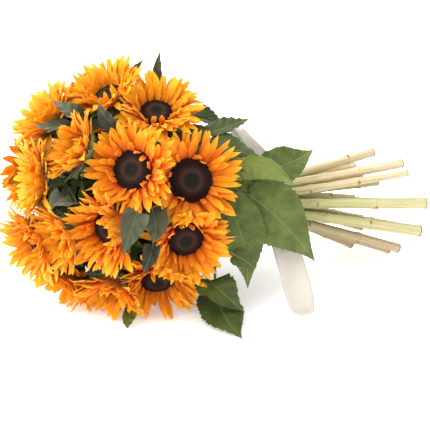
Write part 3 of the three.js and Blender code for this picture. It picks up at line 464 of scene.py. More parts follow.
def blade_places(head, blade, flat):
    """Bends a flat blade: over is x, root to tip is y from 0 to 1, and thickness is z."""
    over, along, lift = flat.T
    turning = blade["rise"] + blade["arch"] * (0.5 - STEPS) + blade["curl"] * STEPS**3
    step = blade["long"] / (len(STEPS) - 1)
    between = (turning[1:] + turning[:-1]) / 2
    outs, ups = (np.concatenate([[0], np.cumsum(part(between) * step)]) for part in (np.cos, np.sin))
    now = np.interp(along, STEPS, turning)
    out = blade["root"] + np.interp(along, STEPS, outs)
    up = blade["foot"] + np.interp(along, STEPS, ups)
    belly = np.sin(np.pi * np.minimum(1, along * 1.2))
    ripple = blade["ripple"] * np.sin(2 * np.pi * (1.6 * along + blade["phase"])) * over
    frill = 2 * np.pi * (2.9 * along + blade["phase"] + 0.3 * np.sign(over))
    frill = blade["frill"] * np.sin(frill) * over**2
    ribs = RIB_DEPTH * np.cos(3 * np.pi * over) * (1 - along)
    cupped = (blade["fold"] * (over**2 - 0.4) + ripple) * belly + frill * np.sqrt(along) + ribs
    half = blade["half"] * over
    standing = cupped + lift + half * np.sin(blade["twist"] * along)
    level = half * np.cos(blade["twist"] * along) + blade["sway"] * blade["long"] * along**2
    radial = out - standing * np.sin(now)
    height = up + standing * np.cos(now)
    away = np.array([math.cos(blade["round"]), math.sin(blade["round"]), 0.0])
    sideways = np.array([-away[1], away[0], 0.0])
    return in_head(head, np.outer(radial, away) + np.outer(level, sideways) + np.outer(height, (0, 0, 1.0)))


def kept_clear(head, blade, flat, walls, limits, highest):
    """Bends a blade up or back, and shortens it if need be, till it keeps to the head's own room.

    Gives how far the best one still reaches past a wall, and leaves the blade that way.
    """
    free = flat[(flat[:, 1] > 0.25) & (flat[:, 2] > 0)]
    wanted, least, best = blade["rise"], math.inf, None
    for _ in range(TRIES):
        for step in RISE_STEPS:
            blade["rise"] = wanted + math.radians(step)
            if LOWEST_RISE <= blade["rise"] <= highest:
                past = np.max(blade_places(head, blade, free) @ walls - limits)
                if past < least:
                    least, best = past, dict(blade)
                if past <= 0:
                    return past
        blade["long"] *= SHORTER
        blade["half"] *= NARROWER
    blade.update(best)
    return least


def outline_width(along, outline):
    return float(np.interp(along, [at for at, _ in outline], [wide for _, wide in outline]))


def thickened(shape, thick, backed=0):
    """Gives a sheet its thickness, and another finish to its back and rim where it is backed."""
    wall = shape.modifiers.new("thickness", "SOLIDIFY")
    wall.thickness, wall.offset = thick, 0
    wall.material_offset = wall.material_offset_rim = backed
    bpy.ops.object.modifier_apply(modifier=wall.name)


def flat_blade(name, columns, rows, outline, thick, backed=0, notch=0.0):
    """A flat blade, cut to its outline row by row, notched at the tip and given its thickness."""
    bpy.ops.object.select_all(action="DESELECT")
    bpy.ops.mesh.primitive_grid_add(x_subdivisions=columns, y_subdivisions=rows, size=2, location=(0, 0, 0))
    shape = opened(name)
    bpy.ops.mesh.select_all(action="SELECT")
    bpy.ops.transform.translate(value=(0, 1, 0))
    bpy.ops.transform.resize(value=(1, 0.5, 1), center_override=(0, 0, 0))
    if notch:
        choose(shape, lambda co: co.y > 0.99 and abs(abs(co.x) - 0.33) > 0.1)
        bpy.ops.transform.translate(value=(0, -notch, 0))
    for row in range(rows + 1):
        along = row / rows
        choose(shape, lambda co: (
            abs(co.y - along) < 0.2 / rows or (row == rows and co.y > along - 1.1 * notch - 0.01)
        ))
        wide = max(1e-5, outline_width(along, outline))
        bpy.ops.transform.resize(value=(wide, 1, 1), center_override=(0, along, 0))
    bpy.ops.mesh.select_all(action="SELECT")
    bpy.ops.mesh.remove_doubles(threshold=0.001)
    bpy.ops.object.mode_set(mode="OBJECT")
    thickened(shape, thick, backed)
    return pattern_of(shape)


def rib_lines(place, over, along, tone):
    return (over * 26.0).sum("SINE") * 0.2 + speckle(place, (12, 1.0, 40), 2.4)


def petal_colour(place, over, along, tone):
    uneven = (speckle(place, (4, 1.2, 30), 2) - 0.5) * 0.4
    length = ramp(along + uneven, [
        (0.0, (150, 42, 5)), (0.07, (222, 84, 4)), (0.24, (248, 118, 4)), (0.5, (255, 146, 6)),
        (0.78, (255, 172, 12)), (1.0, (255, 202, 40)),
    ])
    ribbed = blended((rib_lines(place, over, along, tone) - 0.25) * 0.34, length, (226, 92, 3))
    return blended(tone * 0.28, ribbed, (255, 196, 22))


PETAL_FINISH = finish_of("ray_petal", 0.6, petal_colour, rib_lines, 0.0006, 0.6, 0.34, 0.1, 0.35)
PETAL_OUTLINES = [  # pointed, notched and slim, each with the depth of its notch
    ([(0, 0.46), (0.12, 0.68), (0.3, 0.9), (0.5, 1), (0.68, 0.96), (0.82, 0.74), (0.92, 0.42), (1, 0)], 0),
    ([(0, 0.46), (0.15, 0.72), (0.4, 0.96), (0.6, 1), (0.78, 0.86), (0.9, 0.62), (1, 0.34)], 0.05),
    ([(0, 0.4), (0.2, 0.64), (0.45, 0.8), (0.65, 0.78), (0.85, 0.5), (1, 0)], 0),
]
PETAL_SHARES = (0.5, 0.3, 0.2)
petal_blades = [
    flat_blade(f"petal_blade_{kind}", PETAL_COLUMNS, PETAL_ROWS, outline, PETAL_THICK, notch=notch)
    for kind, (outline, notch) in enumerate(PETAL_OUTLINES)
]

# The collar that the petals stand in, four edges round, in the petals' own finish as at their foot.
COLLAR_SIDES = 38
COLLAR = np.array([(0.4, -0.8), (2.2, -1.4), (2.8, -4.2), (0.4, -4.4)])
COLLAR_MARK = (0, 0.12, 0)
bpy.ops.mesh.primitive_circle_add(vertices=COLLAR_SIDES, radius=1, fill_type="NOTHING", location=(0, 0, 0))
collar = opened("collar")
bpy.ops.mesh.select_all(action="SELECT")
for _ in COLLAR[1:]:
    bpy.ops.mesh.extrude_edges_move(TRANSFORM_OT_translate={"value": (0, 0, 1)})
choose(collar, lambda co: co.z < 0.1 or co.z > len(COLLAR) - 1.1)
bpy.ops.mesh.bridge_edge_loops()
collar = closed_pattern(collar)

for head in HEADS:
    luck = np.random.default_rng(PETAL_LUCK + head["number"])
    walls, limits = walls_of(head)
    rim, height = COLLAR[np.rint(collar[0][:, 2]).astype(int)].T
    out = head["disc"] + rim
    ring = np.stack([collar[0][:, 0] * out, collar[0][:, 1] * out, height], axis=1)
    copies = [(collar, in_head(head, ring), np.zeros_like(ring) + COLLAR_MARK, 0)]
    head["outer_petals"] = []
    golden = GOLDEN.get(head["number"], 0)
    calm, wider = (CALM_SHARE, CALM_WIDER) if head["number"] in CALM_HEADS else (1, 1)
    for order, whorl in enumerate(WHORLS + [DROOPING] * (head["number"] in DROOPING_HEADS)):
        inner = order == len(WHORLS) - 1
        for k in range(whorl["count"]):
            turn = 2 * math.pi * (k + 0.5 * order + 0.24 * luck.standard_normal()) / whorl["count"]
            blade = dict(
                round=turn,
                rise=math.radians(head["rise"] + whorl["stand"] + luck.normal(0, 12 if inner else 6)),
                long=head["petal"] * whorl["long"] * luck.uniform(0.8, 1.08),
                half=wider * PETAL_HALF * whorl["wide"] * luck.uniform(0.85, 1.15),
                arch=math.radians(luck.uniform(4, 44)),
                curl=math.radians(luck.uniform(10, 70) if inner else luck.normal(0, 24)),
                twist=calm * luck.normal(0, 0.42), fold=luck.uniform(-1.4, 2.8), ripple=luck.uniform(0, 1.5),
                frill=calm * luck.uniform(0.4, 2.3), phase=luck.uniform(0, 1), sway=luck.normal(0, 0.11),
                root=head["disc"] - whorl["inset"], foot=whorl["foot"],
            )
            kind = petal_blades[luck.choice(3, p=PETAL_SHARES)]
            past = kept_clear(head, blade, kind[0], walls, limits, HIGHEST_RISE)
            if past > 0 and order > 1:
                continue
            if order == 0:
                head["outer_petals"].append((turn, blade["rise"]))
            marks = kind[0] * (1, 1, 0) + (0, 0, golden + luck.uniform(0, 1))
            copies.append((kind, blade_places(head, blade, kind[0]), marks, 0))
    petals = piece(f"petals_of_{head['number']:02d}", copies, [PETAL_FINISH], crease=60)
    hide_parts(f"petals_{head['number']:02d}")

# Leafy stems
# Each flower's own green: a ribbed stalk that swells where old leaves were cut away, a cup of pointed bracts
# behind the petals, and broad toothed leaves on round leafstalks. The stalks cross at the tie and fan out to
# their straw-coloured cut ends. Stalk, cup, bracts and leaves are one living piece.

BUNCH_DROP = math.radians(9.7)
AXIS = np.array([math.cos(BUNCH_DROP), 0, -math.sin(BUNCH_DROP)])
NEAR = np.array([0, -1.0, 0])
HIGH = -np.cross(AXIS, NEAR)
TIE_AWAY = 190  # from the middle of the ball
TIE_CENTRE = BALL_CENTRE + TIE_AWAY * AXIS
INNER_SLOTS, OUTER_SLOTS = (-127, 12.35), (-118, 24.15)  # degrees round of the first, and millimetres out
NECK_RADIUS, TIE_RADIUS, NECK_DEPTH = 4.6, 6.1, 27
STEM_BOW, STEM_ARRIVAL = 0.75, 0.9
WAIST = 0.16
STEM_SIDES = 20
CUP_ROWS = [  # out from the axis as a share of the disc and in millimetres, and height
    (0.02, 0, -5.5), (0.9, 0, -5.45), (1, 1.6, -5.45), (1, 2.6, -6.4), (1, 1.4, -9), (0.82, 0, -12.5),
    (0.56, 0, -16), (0.34, 0.6, -19.5), (0.12, 3.2, -23.5),
]
GROWN_ROWS, CUT_ROWS = 30, 16
NODE_AT = (-0.03, -0.012, 0, 0.012, 0.03)  # rows round each of the two swellings
NODE_SPAN, NODE_SWELLING = 0.02, 0.15
SCAR_SIZE = 2.3
NODE_GIRTH, CUT_GIRTH = 1.04, 0.99  # of the brown rings, to the stalk's radius
CUT_RIM = 0.994  # where the skin has browned at the cut
BRACT_ROWS = [(17, 16), (17, 28), (15, 42)]  # their count, and how far they bend back from the petals
LOWEST_BRACT, HIGHEST_BRACT = math.radians(-78), math.radians(60)
BRACT_ROOM = 14.0  # that bracts stay further from the neighbours than petals
STEM_LUCK = 399


def round_tie(along, around, out):
    around = math.radians(around)
    return TIE_CENTRE + along * AXIS + out * math.cos(around) * NEAR + out * math.sin(around) * HIGH


def slot_of(number):
    """Round and out from the middle of the tie: one stem, and round it rings of six and twelve."""
    if number == 0:
        return 0, 0
    if number < 7:
        return INNER_SLOTS[0] + 60 * (number - 1), INNER_SLOTS[1]
    return OUTER_SLOTS[0] + 30 * (number - 6), OUTER_SLOTS[1]


def stem_path(head):
    """The middle and radius of a stem: -1 at the neck, 0 at the tie and 1 at the cut end."""
    around, out = slot_of(head["slot"])
    foot_around, foot_out, length, foot_radius = head["foot"]
    neck = head["centre"] - NECK_DEPTH * head["normal"]
    slot = round_tie(0, around, out)
    span = np.linalg.norm(neck - slot)
    leave, arrive = -head.get("bow", STEM_BOW) * span * head["normal"], STEM_ARRIVAL * span * AXIS
    foot, straight = round_tie(length, foot_around, foot_out), round_tie(length, around, out)

    def at(t):
        if t < 0:
            u = 1 + t
            middle = (2 * u**3 - 3 * u**2 + 1) * neck + (u**3 - 2 * u**2 + u) * leave
            middle = middle + (3 * u**2 - 2 * u**3) * slot + (u**3 - u**2) * arrive
            return middle, NECK_RADIUS + u * (TIE_RADIUS - NECK_RADIUS)
        opened_by = (math.hypot(t, WAIST) - WAIST) / (math.hypot(1, WAIST) - WAIST)
        middle = slot + t * (straight - slot) + opened_by * (foot - straight)
        return middle, TIE_RADIUS + t * (foot_radius - TIE_RADIUS)

    return at


def tube_pattern(name, sides, rows, capped=False):
    """A straight tube of rows one apart, with a cut face at its far end where it is capped."""
    bpy.ops.object.select_all(action="DESELECT")
    bpy.ops.mesh.primitive_circle_add(vertices=sides, radius=1, fill_type="NGON", location=(0, 0, 0))
    shape = opened(name)
    for level in range(rows - 1):
        choose(shape, lambda co: co.z > level - 0.1)
        bpy.ops.mesh.extrude_region_move(TRANSFORM_OT_translate={"value": (0, 0, 1)})
    if capped:
        choose(shape, lambda co: co.z > rows - 1.1)
        bpy.ops.mesh.inset(thickness=0.12)
        bpy.ops.object.material_slot_add()
        bpy.ops.object.material_slot_add()
        shape.active_material_index = 1
        bpy.ops.object.material_slot_assign()
        bpy.ops.mesh.inset(thickness=0.5)
    return closed_pattern(shape)


def along_tube(pattern, middles, radii, outward, ribs=0.0):
    """Bends a straight tube along its row middles, and gives its places and lengths along it."""
    row = np.rint(pattern[0][:, 2]).astype(int)
    middles, radii = np.array(middles), np.array(radii)
    rings = []
    for i in range(len(middles)):
        tangent = unit(middles[min(i + 1, len(middles) - 1)] - middles[max(i - 1, 0)])
        outward = unit(outward - (outward @ tangent) * tangent)
        rings.append((outward, -np.cross(tangent, outward)))
    rings = np.array(rings)
    x, y = pattern[0][:, 0], pattern[0][:, 1]
    around = np.arctan2(y, x)
    size = radii[row] * (1 + ribs * np.cos(6 * around) + 0.5 * ribs * np.cos(10 * around + 1))
    placed = middles[row] + rings[row, 0] * (x * size)[:, None] + rings[row, 1] * (y * size)[:, None]
    lengths = np.concatenate([[0], np.cumsum(np.linalg.norm(np.diff(middles, axis=0), axis=1))])[row]
    return placed, marks_from(x, y, lengths / 100)


def stalk_colour(fresh, old, streak):
    """Green near the heads, and paler and drier towards the cut end."""
    def colour(place, *marks):
        lengthwise = with_parts(place.node("TexCoord", {}, "Object"))[1]
        fibres = speckle(place, (3.2, 3.2, 0.35), 2.5, 5)
        patches = speckle(place, (0.5, 0.5, 1.4), 2.2)
        aged = ramp(lengthwise * 3.2 + (patches - 0.75), [
            (0.0, (100, 118, 58)), (0.25, (134, 142, 84)), (0.6, fresh), (1.0, old),
        ])
        return blended(fibres.sum("GREATER_THAN", 0.54) * 0.6, aged, streak)
    return colour


def stem_relief(place, *marks):
    return speckle(place, (4, 4, 0.25), 2.5, 4)


def cut_colour(place, *marks):
    return ramp(speckle(place, (6, 6, 6), 3), [(0.3, (226, 214, 176)), (0.6, (240, 234, 212))])


VEINS_A_SPAN = 7.2  # side veins in 100 mm
VEIN_WIDE, MIDRIB_WIDE, VEIN_SHARE = 0.06, 0.012, 0.42
QUILT = 1.0  # how far the leaf swells between them


def vein_lines(over, along):
    """Pale veins: the midrib, and side veins that sweep to the tip."""
    aside = over.sum("ABSOLUTE")
    bands = ((along - aside.sum("POWER", 0.82) * 0.85) * VEINS_A_SPAN).sum("FRACT")
    side_vein = 1.0 - (bands - 0.5).sum("ABSOLUTE").sum("DIVIDE", VEIN_WIDE)
    middle_vein = 1.0 - aside.sum("DIVIDE", MIDRIB_WIDE)
    strong = (side_vein.sum("MAXIMUM", 0.0) * 0.35).sum("MAXIMUM", middle_vein)
    return strong.sum("MAXIMUM", 0.0).sum("MINIMUM", 1.0)


def leaf_relief(place, over, along, tone):
    """The fine net of veins that puckers the blade, with the larger veins sunk in it."""
    net = place.node("TexVoronoi", {"Vector": place, "Scale": 24}, "Distance", feature="DISTANCE_TO_EDGE")
    return (net * 4.0).sum("MINIMUM", 0.6) - vein_lines(over, along) * 0.9


def leaf_colour(low, middle, high, vein):
    def colour(place, over, along, tone):
        uneven = tone * 0.5 + speckle(place, (3, 3, 9), 1.8, 5) * 0.55
        greens = ramp(uneven, [(0.2, low), (0.5, middle), (0.8, high)])
        return blended(vein_lines(over, along) * VEIN_SHARE, greens, vein)
    return colour


STALK_FINISHES = {
    name: finish_of(f"stalk_{name}", 0.62, stalk_colour(*colours), stem_relief, depth=0.0012, strength=0.7)
    for name, colours in dict(
        green=((181, 177, 121), (193, 185, 142), (156, 146, 98)),
        straw=((200, 186, 142), (214, 198, 164), (176, 142, 102)),
        dry=((176, 162, 122), (194, 172, 136), (142, 116, 88)),
    ).items()
}
DRY_STALKS, GREEN_STALKS = (10, 13, 14, 18), (4, 5, 8, 9, 11, 12)
BLADE_FINISHES = [
    finish_of(name, rough, leaf_colour(*greens), leaf_relief, depth, strength, through, sheen, shine)
    for name, greens, rough, depth, strength, through, sheen, shine in [
        ("leaf_upper", [(44, 60, 24), (82, 98, 40), (126, 140, 64), (160, 164, 108)],
         0.46, 0.0012, 0.6, 0.18, 0, 0.4),
        ("leaf_under", [(92, 106, 72), (118, 132, 94), (144, 156, 114), (170, 178, 136)],
         0.75, 0.0009, 0.5, 0.18, 0.2, 0.3),
        # The next two are near-black greens for the leaves between the heads: painted shade, where shade
        # falls between them.
        ("young_leaf", [(34, 37, 22), (56, 60, 38), (82, 86, 58), (112, 116, 86)],
         0.7, 0.0008, 0.5, 0.12, 0.4, 0.3),
        ("young_leaf_under", [(96, 104, 78), (124, 132, 102), (152, 158, 130), (170, 176, 150)],
         0.8, 0.0008, 0.5, 0.12, 0.4, 0.3),
    ]
]
STEM_FINISHES = [  # after that of the stalk
    finish_of("cut_end", 0.8, cut_colour, cut_colour, depth=0.0006),
    *BLADE_FINISHES[:2],
    finish_of("bract", 0.65, leaf_colour((40, 60, 28), (66, 90, 40), (98, 122, 58), (120, 142, 76)),
              lambda place, *marks: speckle(place, (30, 4, 9), 3), depth=0.0006, sheen=0.2),
    finish_of("leaf_scar", 0.85, lambda place, *marks: blended(
        speckle(place, (2, 2, 2), 3), (112, 80, 52), (176, 142, 98))),
    *BLADE_FINISHES[2:],
]
# The last of these is the painted-shade finish of the leaves between the heads.
STALK, LEAF, BRACT, SCAR, POCKET_SHADE = 0, 2, 4, 5, 6  # among a stem's finishes; a blade's back is one further on

LEAF_ROWS, LEAF_THICK, LEAF_TEETH = 44, 0.7, 0.032
LEAF_OUTLINE = [
    (0, 0.1), (0.04, 0.46), (0.09, 0.74), (0.16, 0.9), (0.25, 0.99), (0.34, 1), (0.46, 0.95), (0.58, 0.82),
    (0.7, 0.61), (0.8, 0.39), (0.88, 0.2), (0.94, 0.09), (1, 0),
]
toothed = [
    (row / LEAF_ROWS,
     outline_width(row / LEAF_ROWS, LEAF_OUTLINE) * (1 + LEAF_TEETH * (-1) ** row * (row > 5)))
    for row in range(LEAF_ROWS + 1)
]
leaf_blade = flat_blade("leaf_blade", 12, LEAF_ROWS, toothed, LEAF_THICK, backed=1)
upper_blade = flat_blade("upper_blade", 4, 10, LEAF_OUTLINE, LEAF_THICK, backed=1)
LEAFSTALK_ROWS = 11  # along the leafstalk, and as many again along the midrib
leafstalk = tube_pattern("leafstalk", 8, 2 * LEAFSTALK_ROWS)
BRACT_OUTLINE = [(0, 0.8), (0.25, 1), (0.5, 0.82), (0.75, 0.45), (1, 0)]
bract_blade = flat_blade("bract_blade", 2, 5, BRACT_OUTLINE, 0.8)
stem_rows = len(CUP_ROWS) + GROWN_ROWS + CUT_ROWS + 2 * len(NODE_AT)
stem_tube = tube_pattern("stem_tube", STEM_SIDES, stem_rows, capped=True)

bpy.ops.mesh.primitive_uv_sphere_add(segments=10, ring_count=6, radius=1, location=(0, 0, 0))
scar = opened("scar")
bpy.ops.mesh.select_all(action="SELECT")
bpy.ops.transform.resize(value=(0.45, 1.3, 1), center_override=(0, 0, 0))
scar = pattern_of(scar)

bpy.ops.object.select_all(action="DESELECT")
bpy.ops.mesh.primitive_torus_add(major_segments=16, minor_segments=5, major_radius=1, minor_radius=0.09)
node_ring = opened("node_ring")
choose(node_ring, lambda co: math.hypot(co.x, co.y) > 1.05)
bpy.ops.transform.resize(value=(1, 1, 0.4))
node_ring = pattern_of(node_ring)


def midrib(leaf, t):
    """The curve from a leaf's root through its middle, halfway, to its tip."""
    bend = 2 * leaf["middle"] - (leaf["root"] + leaf["tip"]) / 2
    t = np.asarray(t)[:, None]
    return (1 - t) ** 2 * leaf["root"] + 2 * t * (1 - t) * bend + t**2 * leaf["tip"]


def leaf_places(leaf, flat, luck):
    """Lays a flat leaf along its midrib, folded, waved and with its base drawn back into two lobes."""
    over, along, lift = flat.T
    half, face, dark = leaf["half"], leaf["face"], "pocket" in leaf
    length = np.linalg.norm(leaf["middle"] - leaf["root"]) + np.linalg.norm(leaf["tip"] - leaf["middle"])
    drawn = along - 0.09 * np.abs(over) * np.clip(1 - along / 0.22, 0, 1)
    ahead = midrib(leaf, drawn + 0.01) - midrib(leaf, drawn - 0.01)
    ahead /= np.linalg.norm(ahead, axis=1)[:, None]
    normal = face - (ahead @ face)[:, None] * ahead
    normal /= np.linalg.norm(normal, axis=1)[:, None]
    wave = luck.uniform(0.05, 0.09) * half * leaf.get("wavy", 2.4 if dark else 1)
    rolled = 0.3 * half * np.abs(over) ** 3 if dark else 0
    phase = luck.uniform(0, 1, 2)
    swell = np.sin(2 * np.pi * (1.7 * along + np.where(over > 0, phase[0], phase[1]))) * over**2 * wave
    swell += 0.3 * wave * np.sin(2 * np.pi * (4.3 * along + phase[1])) * np.abs(over) ** 3
    fold = leaf["fold"] * (np.sqrt(over**2 + 0.01) - 0.1)
    groove = -0.9 * np.exp(-((over * half / 1.6) ** 2)) * (1 - along)
    reach = along * length / 100 - 0.85 * (np.abs(over) * half / 100) ** 0.82
    quilt = QUILT * np.cos(2 * np.pi * VEINS_A_SPAN * reach) * np.minimum(1, 3 * np.abs(over))
    standing = fold + swell + groove + quilt + rolled + lift
    side = np.cross(normal, ahead)
    placed = midrib(leaf, drawn) + (over * half)[:, None] * side + standing[:, None] * normal
    shade = luck.uniform(0, 1)
    return placed, marks_from(over * half / 100, along * length / 100, leaf.get("shade", shade))


def leafstalk_places(leaf, at):
    """The leafstalk, and on from it the midrib that stands out under the blade."""
    start, end = at(leaf["start"])[0], midrib(leaf, [0.06])[0]
    span = np.linalg.norm(end - start)
    one = start + 0.35 * span * unit(unit(end - start) - 0.3 * AXIS)
    two = end - 0.35 * span * unit(midrib(leaf, [0.1])[0] - leaf["root"])
    t = np.linspace(0, 1, LEAFSTALK_ROWS)[:, None]
    stalk = (1 - t) ** 3 * start + 3 * t * (1 - t) ** 2 * one + 3 * t * t * (1 - t) * two + t**3 * end
    ahead = unit(leaf["tip"] - leaf["root"])
    normal = unit(leaf["face"] - (leaf["face"] @ ahead) * ahead)
    thick = np.concatenate([np.linspace(2.4, 1.5, LEAFSTALK_ROWS), np.linspace(1.4, 0.35, LEAFSTALK_ROWS)])
    thick = (0.6 if "pocket" in leaf else 1.0) * thick
    rib = midrib(leaf, np.linspace(0.1, 0.94, LEAFSTALK_ROWS))
    rib = rib - np.outer(0.9 + 0.4 * thick[LEAFSTALK_ROWS:], normal)
    return along_tube(leafstalk, np.concatenate([stalk, rib]), thick, np.array([0.3, 0.2, 1.0]))


UPPER_LEAVES = 12
UPPER_START, UPPER_END = -0.96, -0.5
UPPER_BALL, UPPER_LOW = 114.0, 6.0  # their tips stay inside and above these, out of sight behind the petals
UPPER_SHORTEST = 16


def upper_leaf(at, k, luck):
    """One of the small leaves close behind a head, which fill the bunch from inside. Their darker green
    is painted shade.
    """
    t = UPPER_START + (UPPER_END - UPPER_START) * k / (UPPER_LEAVES - 1)
    stalk, radius = at(t)
    back = unit(at(t + 0.02)[0] - at(t - 0.02)[0])
    level = unit(np.cross(back, (0.2, 0.3, 1.0)))
    turn = k * GOLDEN_TURN
    outward = math.cos(turn) * level + math.sin(turn) * np.cross(back, level)
    lean = math.radians(luck.uniform(5, 45))
    reach = luck.uniform(56, 86)
    root = stalk + radius * outward
    arrow = math.cos(lean) * outward - math.sin(lean) * back
    tip = root + reach * arrow
    while reach > UPPER_SHORTEST and (np.linalg.norm(tip - BALL_CENTRE) > UPPER_BALL or tip[2] < UPPER_LOW):
        reach *= 0.9
        tip = root + reach * arrow
    return dict(
        root=root, middle=(root + tip) / 2 - 0.12 * reach * back, tip=tip, face=0.5 * outward - back,
        half=0.3 * reach, fold=luck.uniform(-3, 4),
    )


def on_stalk(at, t, before, after, aside):
    """The middle and radius of a stalk, and three directions there, out, across and along."""
    along = unit(at(after)[0] - at(before)[0])
    outward = unit(np.cross(along, aside))
    return *at(t), np.array([outward, np.cross(along, outward), along])


for head in HEADS:
    luck = np.random.default_rng(STEM_LUCK + head["number"])
    at = stem_path(head)
    walls, limits = walls_of(head)
    nodes = [luck.uniform(0.28, 0.45), luck.uniform(0.62, 0.84)]
    swollen = [node + np.array(NODE_AT) for node in nodes]
    cut_rows = np.sort(np.concatenate([np.linspace(0.06, 1, CUT_ROWS), *swollen]))
    times = np.concatenate([np.linspace(-1, 0, GROWN_ROWS), cut_rows])
    grown = [at(t) for t in times]
    middles = [head["centre"] + up * head["normal"] for _, _, up in CUP_ROWS]
    middles += [middle for middle, _ in grown]
    radii = [share * head["disc"] + extra for share, extra, _ in CUP_ROWS]
    for t, (_, radius) in zip(times, grown):
        swelling = sum(math.exp(-(((t - node) / NODE_SPAN) ** 2)) for node in nodes)
        radii.append(radius * (0.97 + NODE_SWELLING * swelling))
    placed, marks = along_tube(stem_tube, middles, radii, head["side"], ribs=0.03)
    copies = [(stem_tube, placed, marks, STALK)]
    for node in nodes:
        turn = luck.uniform(0, 2 * math.pi)
        aside = (math.cos(turn), math.sin(turn), 0.3)
        middle, radius, turned = on_stalk(at, node, node - NODE_SPAN, node + NODE_SPAN, aside)
        copies.append((scar, middle + turned[0] * radius + (scar[0] * SCAR_SIZE) @ turned, scar[0], SCAR))
        copies.append((node_ring, middle + (node_ring[0] * NODE_GIRTH * radius) @ turned, node_ring[0], SCAR))
    middle, radius, turned = on_stalk(at, CUT_RIM, 0.96, 1, (0, 0, 1.0))
    copies.append((node_ring, middle + (node_ring[0] * CUT_GIRTH * radius) @ turned, node_ring[0], SCAR))
    for row, (count, back) in enumerate(BRACT_ROWS):
        for k in range(count):
            turn = 2 * math.pi * (k + 0.5 * row + 0.15 * luck.standard_normal()) / count
            near = [rise for spot, rise in head["outer_petals"] if math.cos(spot - turn) > 0.9]
            rise = min(near or [math.radians(head["rise"])]) - math.radians(back)
            bract = dict(
                round=turn, rise=max(rise, LOWEST_BRACT), long=luck.uniform(17, 24) - 2 * row,
                half=luck.uniform(4.2, 5.6), arch=math.radians(-20), curl=math.radians(luck.uniform(-30, 30)),
                twist=luck.normal(0, 0.1), fold=1.0, ripple=0.3, frill=0.2, phase=luck.uniform(0, 1),
                sway=luck.normal(0, 0.06), root=head["disc"] + 1.0 - 1.5 * row, foot=-6.2 - 1.9 * row,
            )
            if kept_clear(head, bract, bract_blade[0], walls, limits - BRACT_ROOM, HIGHEST_BRACT) <= 0:
                marks = bract_blade[0] * (0.05, 0.15, 0) + (0, 0, luck.uniform(0, 1))
                copies.append((bract_blade, blade_places(head, bract, bract_blade[0]), marks, BRACT))
    for k in range(UPPER_LEAVES):
        placed, marks = leaf_places(upper_leaf(at, k, luck), upper_blade[0], luck)
        # The tone of these leaves is cut to 0.4 of its range, a darker green: painted shade inside the bunch.
        copies.append((upper_blade, placed, marks * (1, 1, 0.4), LEAF))
    for leaf in LEAVES:
        if leaf["head"] == head["number"]:
            placed, marks = leaf_places(leaf, leaf_blade[0], luck)
            # Leaves between the heads take the near-black finish, painted shade for the gaps between the
            # heads.
            copies.append((leaf_blade, placed, marks, POCKET_SHADE if "pocket" in leaf else LEAF))
            copies.append((leafstalk, *leafstalk_places(leaf, at), STALK))
    age = "dry" if head["number"] in DRY_STALKS else "green" if head["number"] in GREEN_STALKS else "straw"
    finishes = [STALK_FINISHES[age], *STEM_FINISHES]
    stem = piece(f"leafy_stem_{head['number']:02d}", copies, finishes, lowest=0.2)
    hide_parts(f"stem_{head['number']:02d}")

# Ribbon
# A cream satin ribbon, 37 mm wide and thin enough to see light through. It is wound flat round the stems at
# the tie and knotted on the near side, with one loop standing up and two tails, the longer one down to the
# table. Each length is a strip of woven cloth.

RIBBON_WIDE, BAND_WIDE = 37.0, 32.0
BAND_RADIUS, CLOTH_THICK = 33.0, 0.3
BAND_ROWS, BAND_SIDES = 9, 48
STRIP_COLUMNS, PLEATS, PLEAT, FALL = 13, 2.5, 4.2, 3.4
KNOT = np.array([196.03, -16.13, 135.59])
LOOP_LINE = [(186, 6, 160), (168, 14, 180), (160, 13, 195), (160, 5, 197), (167, -9, 184), (184, -18, 162)]
LONG_LINE = [(188, -42, 122), (188, -64, 98), (189, -88, 66), (190, -112, 36), (191, -133, 9),
             (192, -141, 1.8), (193, -149, 0.9)]
SHORT_LINE = [(192, -38, 126), (193, -60, 106), (195, -82, 82), (197, -97, 62)]


def ribbon_colour(place, *marks):
    return ramp(speckle(place, (40, 3, 1), 12, 2), [(0.3, (225, 219, 209)), (0.7, (236, 232, 225))])


def ribbon_relief(place, *marks):
    return place.node("TexWave", {"Vector": place, "Scale": 120}, "Fac", bands_direction="X")


RIBBON_FINISH = finish_of("satin_ribbon", 0.38, ribbon_colour, ribbon_relief, 0.0001, 0.3, 0.55, 0.3)


def smooth_line(points, count):
    """Points evenly spread on a smooth line through those given."""
    points = np.array(points, float)
    ends = np.concatenate([[2 * points[0] - points[1]], points, [2 * points[-1] - points[-2]]])
    line = []
    for i in range(len(points) - 1):
        a, b, c, d = ends[i:i + 4]
        for t in np.linspace(0, 1, 12, endpoint=False):
            line.append(0.5 * (
                2 * b + (c - a) * t + (2 * a - 5 * b + 4 * c - d) * t**2 + (3 * b - a - 3 * c + d) * t**3
            ))
    line = np.array(line + [points[-1]])
    lengths = np.concatenate([[0], np.cumsum(np.linalg.norm(np.diff(line, axis=0), axis=1))])
    even = np.linspace(0, lengths[-1], count)
    return np.stack([np.interp(even, lengths, part) for part in line.T], axis=1), lengths[-1]


def woven(rows, columns, closed=True):
    """The faces of a grid of points, rolled up so that its last column meets its first, or flat."""
    return [
        (row * columns + k, row * columns + (k + 1) % columns, (row + 1) * columns + (k + 1) % columns,
         (row + 1) * columns + k)
        for row in range(rows - 1) for k in range(columns if closed else columns - 1)
    ]


def cloth(name, places, marks, faces):
    """A strip of ribbon from its grid, given the thickness of the cloth."""
    places, marks = np.array(places), np.array(marks)
    copies = [((places, faces, [0] * len(faces)), places, marks, 0)]
    made = piece(name, copies, [RIBBON_FINISH], lowest=0.4)
    bpy.ops.object.mode_set(mode="EDIT")
    bpy.ops.mesh.select_all(action="SELECT")
    bpy.ops.mesh.normals_make_consistent(inside=False)
    bpy.ops.object.mode_set(mode="OBJECT")
    thickened(made, CLOTH_THICK * 0.001)
    return made


